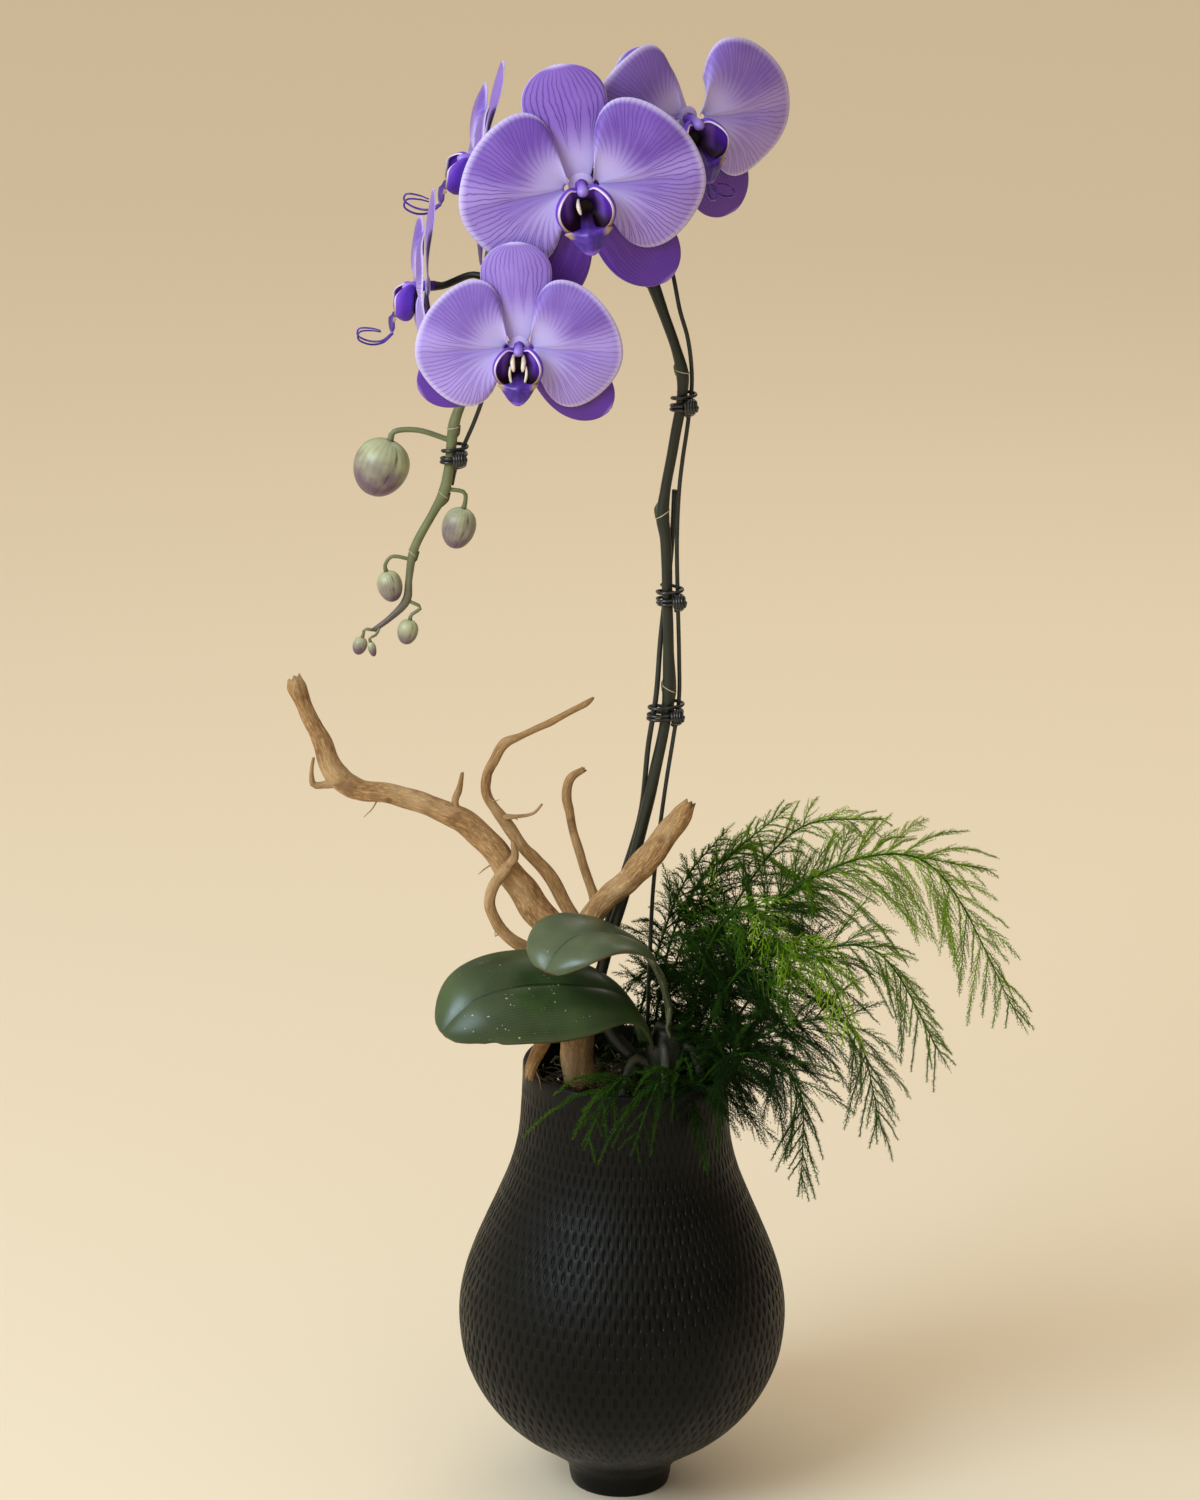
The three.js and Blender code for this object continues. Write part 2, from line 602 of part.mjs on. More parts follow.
// Bark and moss that follow the inside of the vase, with an uneven top.
function makeMedium(holes) {
  const random = seededRandom(7);
  const gap = 2 * CLEARANCE;
  const plain = (radius, height) => ({ points: ringAt(radius, height, MEDIUM_SEGMENTS), shift: 0 });
  const uneven = (radius, height) => {
    const ring = plain(radius, height);
    ring.points.forEach((p) => (p.z += BARK_HEIGHT * (random() - 0.5)));
    return ring;
  };
  const side = [50, 82, 118, 158, MEDIUM_TOP - BARK_HEIGHT].map((height) => {
    return plain(vaseRadiusAt(height) - VASE_WALL - gap, height);
  });
  const body = solidOf(revolved([
    plain(24, VASE_FLOOR + gap),
    ...side,
    uneven(31, MEDIUM_TOP),
    uneven(16, MEDIUM_TOP + 1),
  ]));
  return geometryOf(holes.reduce((rest, hole) => rest.subtract(solidOf(hole)), body));
}

// A plain hole for a stem: the stem's own path, wider by the clearance.
function holeFor(knots, sides, extra = CLEARANCE) {
  const wide = knots.map(([x, y, z, radius]) => [x, y, z, (radius + extra) / Math.cos(Math.PI / sides)]);
  wide[0][2] -= 1;
  return limb(wide, sides, wide.length - 1);
}

// ---------------------------------------------------------------- orchid

const spikeCurve = new THREE.CatmullRomCurve3(SPIKE.map(vector), false, "centripetal");

// The point of the spike at a fractional index into its knots, and the radius there.
function spikeAt(index) {
  const k = Math.floor(index);
  const radius = mix(SPIKE[k][3], SPIKE[Math.min(k + 1, SPIKE.length - 1)][3], index - k);
  return { at: spikeCurve.getPoint(index / (SPIKE.length - 1)), radius };
}

// The frame of a flower: x to its right, y up and z out of its face.
function flowerFrame({ centre, facing, turn }) {
  const out = vector(facing).normalize();
  const up = new THREE.Vector3(0, 0, 1).addScaledVector(out, -out.z).normalize();
  const right = up.clone().cross(out);
  const basis = new THREE.Matrix4().makeBasis(right, up, out);
  return new THREE.Matrix4().makeTranslation(vector(centre))
    .multiply(basis)
    .multiply(new THREE.Matrix4().makeRotationZ(turn * DEGREE));
}

function makeOrchidStem() {
  const stalks = FLOWERS.map((flower) => {
    const start = spikeAt(flower.root);
    const out = vector(flower.facing).normalize();
    const behind = (HUB_RADIUS + 1) * flower.size + 2 * CLEARANCE;
    const back = vector(flower.centre).addScaledVector(out, -behind);
    const bend = start.at.clone().lerp(back, 0.5).addScaledVector(out, -5).add(new THREE.Vector3(0, 0, 3));
    const neck = back.clone().addScaledVector(out, -4);
    return limb([
      [...start.at, 1.7], [...bend, 1.5], [...neck, 1.6], [...back, 2.2],
    ], 5, 3);
  });
  const budStalks = BUDS.map((bud) => {
    const start = spikeAt(bud.from);
    const axis = vector(bud.tip).normalize();
    const end = vector(bud.centre).addScaledVector(axis, -(bud.half + CLEARANCE + 0.1));
    const neck = end.clone().addScaledVector(axis, -(0.25 * bud.half + 0.5));
    const radius = 0.5 + 0.06 * bud.radius;
    return limb([
      [...start.at, radius], [...bud.bow, radius], [...neck, radius], [...end, radius * 1.15],
    ], 4, 4);
  });
  return fused([
    limb(CROWN, 7, 4),
    limb(SPIKE, 6, SPIKE.length - 3),
    ...stalks,
    ...budStalks,
  ]);
}

// A leaf about its midrib. Each half leaves the crease upward, then curls down to its edge.
function makeLeaf({ midrib, halfWidth, roll, crease, curl, fullest }) {
  const rib = new THREE.CatmullRomCurve3(midrib.map(vector), false, "centripetal");
  const widthAt = (t) => {
    const swell = t < fullest
      ? mix(0.24, 1, Math.sin((Math.PI / 2) * (t / fullest)) ** 1.5)
      : Math.sqrt(Math.max(0, 1 - ((t - fullest) / (1 - fullest)) ** 2.4));
    return Math.max(halfWidth * swell, 1.2);
  };
  const point = (u, v) => {
    const t = Math.min(Math.max(u, 0.001), 0.999);
    const along = rib.getTangentAt(t);
    const level = new THREE.Vector3(0, 0, 1).cross(along).normalize(); // toward the viewer's side
    const up = along.clone().cross(level).normalize();
    const lift = roll * Math.sin((Math.PI / 2) * Math.min(1, t * 1.8));
    const side = 2 * v - 1;
    const reach = Math.abs(side) * widthAt(t);
    const parts = 8;
    const place = rib.getPointAt(t);
    range(parts).forEach((k) => {
      const share = ((k + 0.5) / parts) * Math.abs(side);
      const angle = (Math.sign(side) * -lift + crease - curl * share) * DEGREE;
      place.addScaledVector(level, (Math.sign(side) * Math.cos(angle) * reach) / parts);
      place.addScaledVector(up, (Math.sin(angle) * reach) / parts);
    });
    return place;
  };
  return blade(point, 8, 6, LEAF_THICKNESS);
}

// A broad petal as a fan about its claw, longest a little below the horizontal and with sloping
// shoulders; side is 1 for the right one and -1 for the left.
function petalPoint(side, u, v) {
  const angle = mix(-71, 82, v) * DEGREE;
  const corner = (1 - 0.6 * Math.abs(2 * v - 1) ** 9) ** 0.35;
  const blunt = PETAL_BLUNTNESS * DEGREE;
  const aside = Math.hypot(angle - PETAL_FURTHEST * DEGREE, blunt) - blunt;
  const r = u * PETAL_LENGTH * (1 - PETAL_SLOPE * aside) * corner;
  const wave = 1.4 * u * u * Math.sin(3 * angle + 0.6);
  const depth = 1 + 4.5 * Math.sin(0.75 * Math.PI * u) - 2.5 * u ** 3 + wave;
  return new THREE.Vector3(side * (PETAL_CLAW + r * Math.cos(angle)), r * Math.sin(angle), depth);
}

// A sepal as a long oval blade at an angle, behind the petals.
function sepalPoint({ length, halfWidth, fullest }, angle, u, v) {
  const t = Math.sin((Math.PI / 2) * u) ** 0.9;
  const along = mix(1, length, t);
  const swell = t < fullest
    ? mix(0.22, 1, Math.sin((Math.PI / 2) * (t / fullest)) ** 1.2)
    : Math.sqrt(Math.max(0, 1 - ((t - fullest) / (1 - fullest)) ** 2));
  const across = (1 - 2 * v) * Math.max(halfWidth * swell, 2);
  const depth = -1.8 + 1.6 * Math.sin(Math.PI * t) - 3 * t * t - 0.006 * across * across;
  const [c, s] = [Math.cos(angle * DEGREE), Math.sin(angle * DEGREE)];
  return new THREE.Vector3(along * c - across * s, along * s + across * c, depth);
}

// The corolla: five blades that grow from a small block, with its stump behind.
function makePetals({ upper, upperLength, lower }) {
  const leaning = 0.6 * upper; // the block's upper side leans with the sepal
  const corners = [339, 49 + leaning, 131 + leaning, 201, 270];
  const block = makeBlock(corners, [0, 0], HUB_RADIUS * 0.85, 1, -1);
  const upperSepal = { ...UPPER_SEPAL, length: upperLength };
  const grow = (side, point, uCount, vCount) => {
    growBlade(block, block.side(side), point, uCount, vCount, PETAL_THICKNESS)
      .forEach((face) => closeFace(block, face));
  };
  grow(0, (u, v) => petalPoint(1, u, v), 3, 8);
  grow(1, (u, v) => sepalPoint(upperSepal, 90 + upper, u, 1 - v), 4, 3);
  grow(2, (u, v) => petalPoint(-1, u, 1 - v), 3, 8);
  grow(3, (u, v) => sepalPoint(LOWER_SEPAL, 180 + lower[0], u, 1 - v), 4, 2);
  grow(4, (u, v) => sepalPoint(LOWER_SEPAL, -lower[1], u, 1 - v), 4, 2);
  closeFace(block, block.frontFace);
  growStalk(block, block.backFace, [[0, 0, -3, 0.95], [0, 0, -HUB_RADIUS - 1, 0.6]]);
  return closedGeometry(block.points, turnedAlike(block.triangles));
}

// The lip: a cup of two side lobes under the column, an arrow-shaped front lobe and two tendrils.
function makeLip() {
  const middle = -9.5;
  const block = makeBlock([-54, 18, 90, 162, 234], [0, -4.5], 3.2, 7.4, 4.6);
  const lobe = (side, u, v) => {
    const angle = mix(-68, 66, v) * DEGREE;
    const swell = LIP_CUP_RADIUS * mix(0.3, 1, Math.sin(0.68 * Math.PI * u));
    const [across, rise] = [side * swell * Math.cos(angle), swell * Math.sin(angle)];
    return new THREE.Vector3(across, middle + rise, mix(6, 16.5, u));
  };
  const front = (u, v) => {
    const widths = [2.6, 2.6, 2.9, 3.1, 7.6, 1.4];
    const k = Math.min(Math.floor(u * 5), 4);
    const across = (2 * v - 1) * mix(widths[k], widths[k + 1], u * 5 - k);
    return new THREE.Vector3(across, mix(-7, -29, u), 5.6 + 11.4 * u ** 1.3 - 0.04 * across * across);
  };
  const rims = [
    ...growBlade(block, block.side(0), (u, v) => lobe(1, u, v), 3, 4, PETAL_THICKNESS),
    ...growBlade(block, block.side(3), (u, v) => lobe(-1, u, 1 - v), 3, 4, PETAL_THICKNESS),
  ];
  rims.forEach((face) => closeFace(block, face));
  closeSide(block, block.side(1));
  closeSide(block, block.side(2));
  const tips = growBlade(block, block.side(4), front, 5, 2, 1.2);
  tips.forEach((face, k) => {
    const side = k ? 1 : -1;
    growStalk(block, face, [
      [side * 2.8, -31.2, 20.5, 0.85], [side * 5.2, -29.5, 25, 0.8], [side * 4.6, -25.8, 27, 0.75],
      [side * 2.6, -25, 23.5, 0.7],
    ]);
  });
  growStalk(block, block.frontFace, [[0, -5, 11.5, 1.1], [0, -6.6, 13.8, 0.5]]);
  growStalk(block, block.backFace, [[0, -1.6, 3, 0.7], [0, -1.6, 1.4, 0.65]]);
  return closedGeometry(block.points, turnedAlike(block.triangles));
}

// A bud: an egg with a seam down each of its sepals.
function makeBud({ centre, radius, half, tip }) {
  const axis = vector(tip).normalize();
  const frame = new THREE.Quaternion().setFromUnitVectors(new THREE.Vector3(0, 0, 1), axis);
  const sides = radius > 8 ? 9 : 6;
  const shares = radius > 8 ? [-1, -0.82, -0.35, 0.2, 0.66, 0.92, 1] : [-1, -0.6, 0.1, 0.75, 1];
  const rings = shares.map((share) => {
    const profile = Math.sqrt(Math.max(0.03, 1 - share * share)) * (1 - 0.12 * share);
    return range(sides).map((side) => {
      const angle = (2 * Math.PI * side) / sides;
      const r = radius * profile * (side % 3 === 0 ? 0.93 : 1);
      return new THREE.Vector3(r * Math.cos(angle), r * Math.sin(angle), half * share)
        .applyQuaternion(frame);
    });
  });
  return loft(rings).translate(...centre);
}

// ---------------------------------------------------------------- stakes and ties

// Where the upright part of the spike is at a height.
function spikeAtHeight(height) {
  const upper = SPIKE.findIndex(([, , z], k) => k > 4 && z >= height);
  const [a, b] = [SPIKE[upper - 1], SPIKE[upper]];
  const t = (height - a[2]) / (b[2] - a[2]);
  return { x: mix(a[0], b[0], t), y: mix(a[1], b[1], t), radius: Math.max(a[3], b[3]) };
}

// A stake point [x, z] gets the depth that lets it lean on the back of the spike.
function leanOnSpike([x, z], radius) {
  const spike = spikeAtHeight(z);
  const apart = spike.radius + radius + CLEARANCE + 0.7;
  const aside = x - spike.x;
  return new THREE.Vector3(x, spike.y + Math.sqrt(Math.max(0, apart * apart - aside * aside)), z);
}

const straightStakePath = [
  new THREE.Vector3(-16, 12, 160),
  new THREE.Vector3(-14, 10, 215),
  ...STRAIGHT_STAKE.map((p) => leanOnSpike(p, STRAIGHT_STAKE_RADIUS)),
];
const archStakePath = [
  new THREE.Vector3(9, 6, 160),
  new THREE.Vector3(9.5, 5, 215),
  ...ARCH_STAKE.map((p) => leanOnSpike(p, ARCH_STAKE_RADIUS)),
  ...ARCH_STAKE_END.map(vector),
];
const STAKE_PATHS = { stake_straight: straightStakePath, stake_arch: archStakePath };

function pathAtHeight(points, height, fromEnd) {
  const list = fromEnd ? [...points].reverse() : points;
  const k = list.findIndex((p) => p.z >= height);
  const [a, b] = [list[k - 1], list[k]];
  return a.clone().lerp(b, (height - a.z) / (b.z - a.z));
}

// Wire wound round the spike and its stakes, as an oval coil that ends in a knotted ball.
function makeTie({ height, stakes, onTail }) {
  const spikePath = SPIKE.map(vector);
  const stem = pathAtHeight(spikePath, height, onTail);
  const axisEnd = pathAtHeight(spikePath, height + 8, onTail);
  const axis = axisEnd.sub(stem).normalize();
  const rods = stakes.map((name) => pathAtHeight(STAKE_PATHS[name], height, onTail));
  const stemRadius = onTail ? 2.6 : 2.9;
  const reachOf = (p, direction, radius) => p.clone().sub(stem).dot(direction) + radius;
  const coilPoint = (angle, rise) => {
    const direction = new THREE.Vector3(Math.cos(angle), Math.sin(angle), 0);
    const reach = Math.max(
      stemRadius,
      ...rods.map((p) => reachOf(p, direction, STRAIGHT_STAKE_RADIUS)),
    ) + TIE_WIRE_RADIUS + CLEARANCE + 0.8;
    return stem.clone().addScaledVector(axis, rise).addScaledVector(direction, reach);
  };
  const steps = TIE_TURNS * 8;
  const ballAngle = -50 * DEGREE;
  const wire = range(steps + 1).map((i) => {
    const share = i / steps;
    return coilPoint(ballAngle + share * TIE_TURNS * 2 * Math.PI, mix(-2.6, 2.6, share));
  });
  const ballCentre = coilPoint(ballAngle, 0).addScaledVector(
    new THREE.Vector3(Math.cos(ballAngle), Math.sin(ballAngle), 0), TIE_BALL_RADIUS * 0.8);
  const ball = new THREE.SphereGeometry(TIE_BALL_RADIUS, 7, 4).translate(...ballCentre);
  return fused([rod([...wire, ballCentre], TIE_WIRE_RADIUS, 3, steps + 1), ball]);
}

// ---------------------------------------------------------------- driftwood

function makeDriftwood() {
  const random = seededRandom(19);
  const limbs = DRIFTWOOD.map((knots) => {
    const thick = knots[0][3] > 3.5;
    const sides = thick ? DRIFTWOOD_SIDES : 5;
    const steps = knots.length - 1;
    return limb(knots, sides, steps, () => mix(0.86, 1.1, random()));
  });
  return fused(limbs);
}

// ---------------------------------------------------------------- fern

// A spray: a slim three-sided core with clusters of six needles, two rising from each face, and a
// point at its end. Bare is the share of the length without needles.
function makeSpray(curve, face, { radius, bare, random }) {
  const length = curve.getLength();
  const bareSteps = Math.max(1, Math.round((bare * length) / 22));
  const clusters = Math.max(2, Math.round(((1 - bare) * length) / NEEDLE_SPACING));
  const stops = [
    ...range(bareSteps).map((i) => (bare * i) / bareSteps),
    ...range(clusters).flatMap((i) => {
      const t = mix(bare, 1, i / clusters);
      return [t, t + NEEDLE_BASE / length];
    }),
    1,
  ];
  const frames = stops.map((t) => {
    const along = curve.getTangentAt(Math.min(t, 0.999));
    const side = face.clone().cross(along).normalize();
    return { t, at: curve.getPointAt(t), along, side, up: along.clone().cross(side).normalize() };
  });
  const points = frames.flatMap(({ t, at, side, up }) => {
    const r = radius * mix(1, 0.5, t);
    return [90, 210, 330].map((degrees) => at.clone()
      .addScaledVector(side, r * Math.cos(degrees * DEGREE))
      .addScaledVector(up, r * Math.sin(degrees * DEGREE)));
  });
  const triangles = [];
  const addNeedle = (base, { t, along, side, up }, sideways, upward, forward) => {
    const taper = 1 - 0.6 * Math.max(0, (t - 0.5) / 0.5) ** 1.5;
    const reach = NEEDLE_LENGTH * taper * mix(0.75, 1.15, random());
    const foot = base.reduce((sum, i) => sum.add(points[i]), new THREE.Vector3()).divideScalar(3);
    const apex = points.push(foot
      .addScaledVector(side, sideways * reach)
      .addScaledVector(up, upward * reach)
      .addScaledVector(along, forward * reach)) - 1;
    base.forEach((corner, i) => triangles.push([corner, base[(i + 1) % 3], apex]));
  };
  range(stops.length - 1).forEach((k) => {
    const hasNeedles = k >= bareSteps && (k - bareSteps) % 2 === 0 && k < stops.length - 2;
    range(3).forEach((f) => {
      const next = (f + 1) % 3;
      const [a, b, c, d] = [3 * k + f, 3 * k + next, 3 * k + 3 + next, 3 * k + 3 + f];
      if (hasNeedles) {
        const [sideways, upward, spread] = [[-0.85, 0.2, 0], [0, -0.75, 0.5], [0.85, 0.2, 0]][f];
        addNeedle([a, b, c], frames[k], sideways - spread, upward, 0.3);
        addNeedle([a, c, d], frames[k], sideways + spread, upward + 0.1, 0.75);
      } else {
        triangles.push([a, b, c], [a, c, d]);
      }
    });
  });
  return { points, triangles, frames, count: stops.length };
}

function closeSpray({ points, triangles, frames, count }) {
  const last = 3 * (count - 1);
  const { at, along } = frames[count - 1];
  const end = points.push(at.clone().addScaledVector(along, NEEDLE_LENGTH * 0.5)) - 1;
  triangles.push([2, 1, 0], [last, last + 1, end], [last + 1, last + 2, end], [last + 2, last, end]);
  return closedGeometry(points, triangles);
}

// One frond: a stem with needles on its outer part and side sprays that alternate and droop.
function makeFrond({ foot, via, tip, face, sprays, reach }, shake, seed) {
  const random = seededRandom(seed);
  const shaken = (point) => {
    const offset = new THREE.Vector3(random() - 0.5, random() - 0.5, random() - 0.5);
    return vector(point).addScaledVector(offset, shake);
  };
  const sunk = vector([...foot, MEDIUM_TOP - 14]);
  const start = vector([...foot, MEDIUM_TOP + 6]);
  const knots = [sunk, start, ...via.map(shaken), shaken(tip)];
  const stem = new THREE.CatmullRomCurve3(knots, false, "centripetal");
  const facing = vector(face).normalize();
  const parts = [closeSpray(makeSpray(stem, facing, { radius: FROND_STALK_RADIUS, bare: 0.7, random }))];
  range(sprays).forEach((k) => {
    const share = (k + 0.5) / sprays;
    const t = mix(0.4, 0.86, share);
    const side = k % 2 ? 1 : -1;
    const at = stem.getPointAt(t);
    const along = stem.getTangentAt(t);
    const sideways = facing.clone().cross(along).normalize().multiplyScalar(side);
    const length = reach * mix(1, 0.5, share) * mix(0.85, 1.1, random());
    const angle = mix(62, 38, share) * DEGREE;
    const way = along.clone().multiplyScalar(Math.cos(angle)).addScaledVector(sideways, Math.sin(angle));
    const droop = new THREE.Vector3(0, 0, -mix(0.12, 0.3, random()) * length);
    const path = new THREE.CatmullRomCurve3(
      [0, 0.5, 1].map((s) => at.clone().addScaledVector(way, s * length).addScaledVector(droop, s * s)));
    parts.push(closeSpray(makeSpray(path, facing, { radius: SPRAY_CORE_RADIUS, bare: 0.12, random })));
  });
  return fused(parts);
}

// Fronds are bent a little, by growing draws, until each is clear of everything placed before.
function placeFronds(group, placed) {
  FRONDS.forEach((spec, k) => {
    let geometry;
    let solid;
    let clear = false;
    for (let trial = 0; trial < 60 && !clear; trial++) {
      geometry = makeFrond(spec, trial * 0.9, FERN_SEED + 100 * k + trial);
      solid = solidOf(geometry);
      clear = placed.every((other) => solid.minGap(other, 1) >= CLEARANCE);
    }
    placed.push(solid);
    addPiece(`fern_frond_${k + 1}`, geometry, MATERIALS.fern, group);
  });
}

// ---------------------------------------------------------------- the arrangement

function worldSolid(mesh) {
  mesh.updateWorldMatrix(true, false);
  return solidOf(mesh.geometry.clone().applyMatrix4(mesh.matrixWorld));
}

const orchid = new THREE.Group();
const fern = new THREE.Group();
arrangement.add(orchid, fern);

const frondHoles = FRONDS.map(({ foot }) => {
  const depths = [MEDIUM_TOP - 14, MEDIUM_TOP + 4];
  return holeFor(depths.map((z) => [...foot, z, FROND_STALK_RADIUS]), 4);
});
const stakeHoles = [
  [straightStakePath, STRAIGHT_STAKE_RADIUS],
  [archStakePath, ARCH_STAKE_RADIUS],
].map(([path, radius]) => holeFor(path.slice(0, 2).map((p) => [...p, radius]), 5, 0.7));

addPiece("vase", makeVase(), MATERIALS.vase);
addPiece("growing_medium", makeMedium([
  holeFor(CROWN.slice(0, 3), 8, 0.6),
  holeFor(DRIFTWOOD[0].slice(0, 3), 7, 1.6),
  ...stakeHoles,
  ...frondHoles,
]), MATERIALS.medium);

addPiece("orchid_stem", makeOrchidStem(), MATERIALS.stem, orchid);
Object.entries(LEAVES).forEach(([name, leaf]) => addPiece(name, makeLeaf(leaf), MATERIALS.leaf, orchid));
FLOWERS.forEach((flower, k) => {
  const bloom = new THREE.Group();
  bloom.applyMatrix4(flowerFrame(flower));
  bloom.scale.setScalar(flower.size);
  orchid.add(bloom);
  addPiece(`flower_${k + 1}_petals`, makePetals(flower), MATERIALS.petal, bloom);
  addPiece(`flower_${k + 1}_lip`, makeLip(), MATERIALS.lip, bloom);
});
BUDS.forEach((bud, k) => addPiece(`bud_${k + 1}`, makeBud(bud), MATERIALS.bud, orchid));

addPiece("stake_straight", rod(straightStakePath, STRAIGHT_STAKE_RADIUS, 5, 12), MATERIALS.stake);
addPiece("stake_arch", rod(archStakePath, ARCH_STAKE_RADIUS, 4, 44), MATERIALS.stake);
TIES.forEach((tie, k) => addPiece(`tie_${k + 1}`, makeTie(tie), MATERIALS.wire));

addPiece("driftwood", makeDriftwood(), MATERIALS.wood);

const standing = [];
arrangement.traverse((piece) => piece.isMesh && standing.push(worldSolid(piece)));
placeFronds(fern, standing);

export default arrangement;
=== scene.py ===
import math

import bpy
import numpy as np
from mathutils import Matrix, Vector


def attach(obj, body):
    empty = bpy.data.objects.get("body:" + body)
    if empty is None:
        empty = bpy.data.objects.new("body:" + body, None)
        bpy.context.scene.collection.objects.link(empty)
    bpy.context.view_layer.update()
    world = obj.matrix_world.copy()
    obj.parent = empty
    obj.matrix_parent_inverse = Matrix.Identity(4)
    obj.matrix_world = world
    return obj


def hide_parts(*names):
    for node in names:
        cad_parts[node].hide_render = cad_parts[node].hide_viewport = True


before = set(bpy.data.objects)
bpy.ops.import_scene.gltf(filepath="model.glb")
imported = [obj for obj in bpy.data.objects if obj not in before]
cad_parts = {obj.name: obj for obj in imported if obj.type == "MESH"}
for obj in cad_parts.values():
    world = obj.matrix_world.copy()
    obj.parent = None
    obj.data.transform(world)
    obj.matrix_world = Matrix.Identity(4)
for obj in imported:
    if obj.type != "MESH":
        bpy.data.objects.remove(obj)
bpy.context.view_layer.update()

MM = 0.001
UP = np.array([0.0, 0.0, 1.0])

# ---------------------------------------------------------------- driving dimensions

# Points are x, y, z and, where there is a fourth number, the radius there. The vase's profile is
# radius and height, and the leaning stretches of the two stakes are x and height.
VASE_PROFILE = [
    [23.6, 9], [27.5, 14], [37, 21], [48, 29], [57, 38], [64.5, 49], [70, 62], [72.2, 75], [72.4, 86],
    [70.5, 98], [67.2, 109], [62, 122], [56, 136], [50.5, 150], [47, 164], [45.6, 180], [45.1, 193],
]
VASE_HEIGHT = 200
FOOT_RADIUS = 22
RIM_WALL = 3.2
INNER_WALL = 4.6
DIMPLE_COLUMNS = 88
DIMPLE_PITCH = 12
DIMPLE_DEPTH = 0.75
SCOOP_WIDTH = 0.17
SCOOP_HEIGHT = 0.25
MEDIUM_TOP = 187
BARK_FLAKES = 190
MOSS_STRANDS = 260
GRIT_SHARE = 0.2
GRIT_SCALE = 0.35

CROWN = [
    [15, -13, 150, 5.5], [15, -13, 176, 8], [16, -14, 196, 9], [17, -15, 212, 8.2], [19, -16, 222, 6.2],
]
SPIKE = [
    [16, -13, 198, 3.6], [6, -9, 203, 3.5], [-5, -4, 212, 3.2], [-11, -1, 224, 3], [-12, 0, 235, 2.8],
    [-10, 0, 246, 2.7], [-7, 0, 258, 2.6], [0, 0, 283, 2.5], [7, 0, 313, 2.5], [12, 0, 338, 2.5],
    [15.5, 0, 358, 2.4], [16.5, 0, 369, 3], [16, 0, 387, 2.3], [15, 0, 414, 2.3], [14, 0, 436, 2.3],
    [12.5, 0, 446, 2.9], [13.5, 0, 457, 2.3], [17, 0, 479, 2.2], [20, 0, 499, 2.2], [20, 0, 508, 2.8],
    [17, 0, 519, 2.2], [12, 0, 533, 2.2], [7, 0, 546, 2.7], [1, 0, 561, 2.1], [-6, 0, 578, 2.1],
    [-16, 0, 590, 2.1], [-26, 0, 597, 2.6], [-37, 0, 600, 2], [-47, 0, 596, 2.5], [-55, 0, 583, 2],
    [-60, 0, 564, 2], [-62.5, 0, 548, 2.5], [-65, 0, 517, 2.1], [-69, 0, 502, 2.1], [-73, 0, 494, 2.1],
    [-76, 0, 485, 2.5], [-78, 0, 467, 2], [-80, 0, 456, 2.4], [-85, 0, 446, 1.8], [-93, 0, 430, 2],
    [-95, 0, 417, 1.5], [-96, 0, 408, 1.9], [-103, 0, 400, 1.3], [-110, 0, 394.5, 1.1],
]

# The spike's node rings: the knot each is at and how far it tilts, in radii.
NODE_RINGS = ((11, 0.5), (15, -0.6), (19, 0.4), (22, 0.5), (37, 0.4), (31, 0.4), (35, -0.4), (39, 0.4))
ROOTS = 5
ROOT_REACH = 37

# Flowers: centre, the way each faces, its turn and its upper sepal's further turn (degrees), that
# sepal's length, how far its left and right lower sepals hang below the horizontal, its size, the knot
# of the spike that its stalk leaves, how pale it is, the length of its lip's tendrils and its white
# teeth (how many on each side, and their size). One flower's left petal is raised and its fan cut short,
# and its upper sepal is slimmer.
FLOWERS = [
    dict(centre=[-23.2, -33, 594], facing=[0.06, -1, -0.04], turn=9, upper=3, upper_length=50,
         lower=(62, 56), size=1, root=25.6, pale=0.05, tendrils=0, teeth=((1, 0), 0.75)),
    dict(centre=[-48, -45, 529], facing=[-0.03, -1, -0.02], turn=1, upper=2, upper_length=51,
         lower=(26, 37), size=0.84, root=30.4, pale=0.4, tendrils=0, teeth=((2, 2), 1)),
    dict(centre=[20.6, 4, 615.5], facing=[0.5, -0.86, -0.1], turn=5, upper=46, upper_length=44,
         lower=(36, 62), size=0.95, root=22.2, pale=0.5, tendrils=0.8, teeth=((0, 0), 1),
         left_petal=(20, 60), upper_half_width=13.5),
    dict(centre=[-66, 32, 592], facing=[-1, -0.06, 0.12], turn=-6, upper=0, upper_length=51,
         lower=(50, 50), size=0.85, root=28, pale=0.2, tendrils=1, teeth=((1, 1), 0.7)),
    dict(centre=[-88.5, 2, 544], facing=[-1, -0.08, 0], turn=2, upper=0, upper_length=51,
         lower=(46, 46), size=0.8, root=31, pale=0.2, tendrils=1, teeth=((1, 1), 0.7)),
]
CLAW = 5
PETAL_LENGTH = 46
PETAL_ROWS = 34
PETAL_COLUMNS = 64
SEPAL_ROWS = 34
SEPAL_COLUMNS = 26
PETAL_THICKNESS = 0.8
PETAL_LOWEST = -73
PETAL_HIGHEST = 83
PETAL_FURTHEST = -6
PETAL_BLUNTNESS = 9
PETAL_SLOPE_ABOVE = 0.15
PETAL_SLOPE_BELOW = 0.25
PETAL_FOLD = -3
PETAL_CREASE = 0.45
UPPER_SEPAL = dict(half_width=17.5, fullest=0.7)
LOWER_SEPAL = dict(length=55, half_width=15.5, fullest=0.64)
HUB_RADIUS = 4.2
LIP_CUP_RADIUS = 12.4
LIP_CUP_MIDDLE = -8.2
LIP_CUP_FLATNESS = 0.86
LIP_CUP_FRONT = 16.2
LIP_LOBE_LOWEST = -80
LIP_LOBE_HIGHEST = 86
